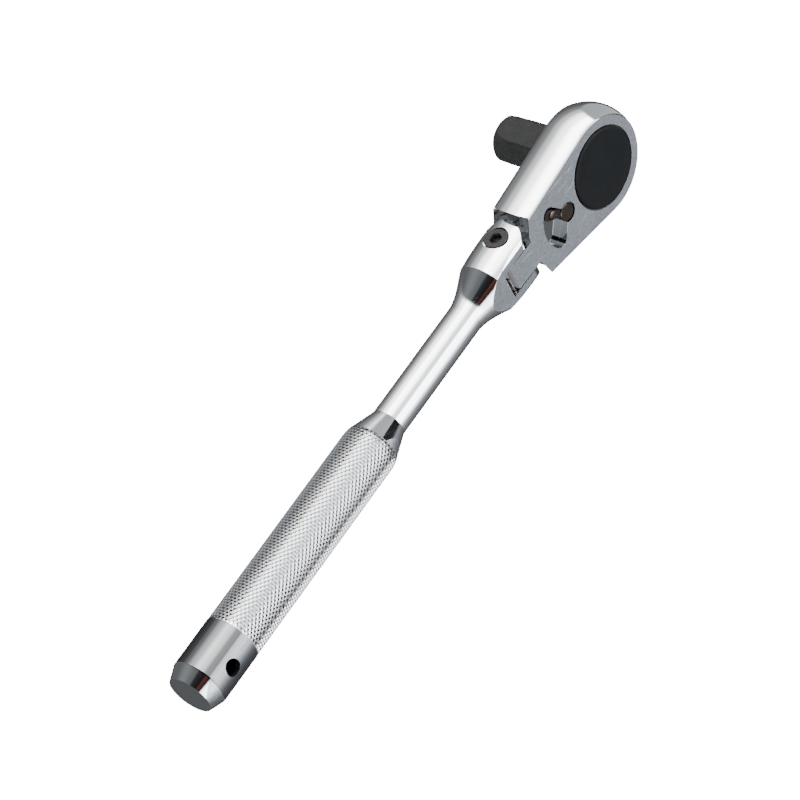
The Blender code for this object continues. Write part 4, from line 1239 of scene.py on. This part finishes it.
class RATCHET_OT_handle(bpy.types.Operator):
    """Build the turned handle"""

    bl_idname = "ratchet.handle"
    bl_label = "Handle"

    def execute(self, context):
        build_handle(context.scene.ratchet_handle)
        return {"FINISHED"}


class RATCHET_OT_knurl(bpy.types.Operator):
    """Build the diamond knurl on the grip"""

    bl_idname = "ratchet.knurl"
    bl_label = "Knurl"

    def execute(self, context):
        build_knurl(context.scene.ratchet_knurl, context.scene.ratchet_handle)
        return {"FINISHED"}


class RATCHET_OT_head(bpy.types.Operator):
    """Build the head housing"""

    bl_idname = "ratchet.head"
    bl_label = "Head"

    def execute(self, context):
        build_head(context.scene.ratchet_head)
        return {"FINISHED"}


class RATCHET_OT_cover(bpy.types.Operator):
    """Build the cover disc"""

    bl_idname = "ratchet.cover"
    bl_label = "Cover"

    def execute(self, context):
        build_cover()
        return {"FINISHED"}


class RATCHET_OT_drive(bpy.types.Operator):
    """Build the gear and its hexagon tang"""

    bl_idname = "ratchet.drive"
    bl_label = "Drive"

    def execute(self, context):
        build_drive()
        return {"FINISHED"}


class RATCHET_OT_lever(bpy.types.Operator):
    """Build the reversing lever"""

    bl_idname = "ratchet.lever"
    bl_label = "Lever"

    def execute(self, context):
        build_lever()
        return {"FINISHED"}


class RATCHET_OT_screw(bpy.types.Operator):
    """Build the pivot screw"""

    bl_idname = "ratchet.screw"
    bl_label = "Pivot screw"

    def execute(self, context):
        build_screw()
        return {"FINISHED"}


class RATCHET_OT_inner(bpy.types.Operator):
    """Give the inner pieces their finishes"""

    bl_idname = "ratchet.inner"
    bl_label = "Inner pieces"

    def execute(self, context):
        finish_inner()
        return {"FINISHED"}


class RATCHET_OT_stage(bpy.types.Operator):
    """Build the floor, the light and the camera"""

    bl_idname = "ratchet.stage"
    bl_label = "Stage"

    def execute(self, context):
        build_stage(context.scene.ratchet_stage)
        return {"FINISHED"}


class RATCHET_PT_panel(bpy.types.Panel):
    bl_label = "Ratchet wrench"
    bl_idname = "RATCHET_PT_panel"
    bl_space_type = "VIEW_3D"
    bl_region_type = "UI"
    bl_category = "Ratchet"

    def draw(self, context):
        for operator in OPERATORS:
            self.layout.operator(operator.bl_idname)


GROUPS = {
    "ratchet_handle": HandleSizes,
    "ratchet_knurl": KnurlSizes,
    "ratchet_head": HeadSizes,
    "ratchet_stage": StageSizes,
}
OPERATORS = (
    RATCHET_OT_handle,
    RATCHET_OT_knurl,
    RATCHET_OT_head,
    RATCHET_OT_cover,
    RATCHET_OT_drive,
    RATCHET_OT_lever,
    RATCHET_OT_screw,
    RATCHET_OT_inner,
    RATCHET_OT_stage,
)


def register():
    for name, group in GROUPS.items():
        bpy.utils.register_class(group)
        setattr(bpy.types.Scene, name, bpy.props.PointerProperty(type=group))
    for operator in OPERATORS:
        bpy.utils.register_class(operator)
    bpy.utils.register_class(RATCHET_PT_panel)


def unregister():
    bpy.utils.unregister_class(RATCHET_PT_panel)
    for operator in reversed(OPERATORS):
        bpy.utils.unregister_class(operator)
    for name, group in GROUPS.items():
        delattr(bpy.types.Scene, name)
        bpy.utils.unregister_class(group)


def main():
    register()
    bpy.ops.ratchet.handle()
    bpy.ops.ratchet.knurl()
    bpy.ops.ratchet.head()
    bpy.ops.ratchet.cover()
    bpy.ops.ratchet.drive()
    bpy.ops.ratchet.lever()
    bpy.ops.ratchet.screw()
    bpy.ops.ratchet.inner()
    bpy.ops.ratchet.stage()


if __name__ == "__main__":
    main()
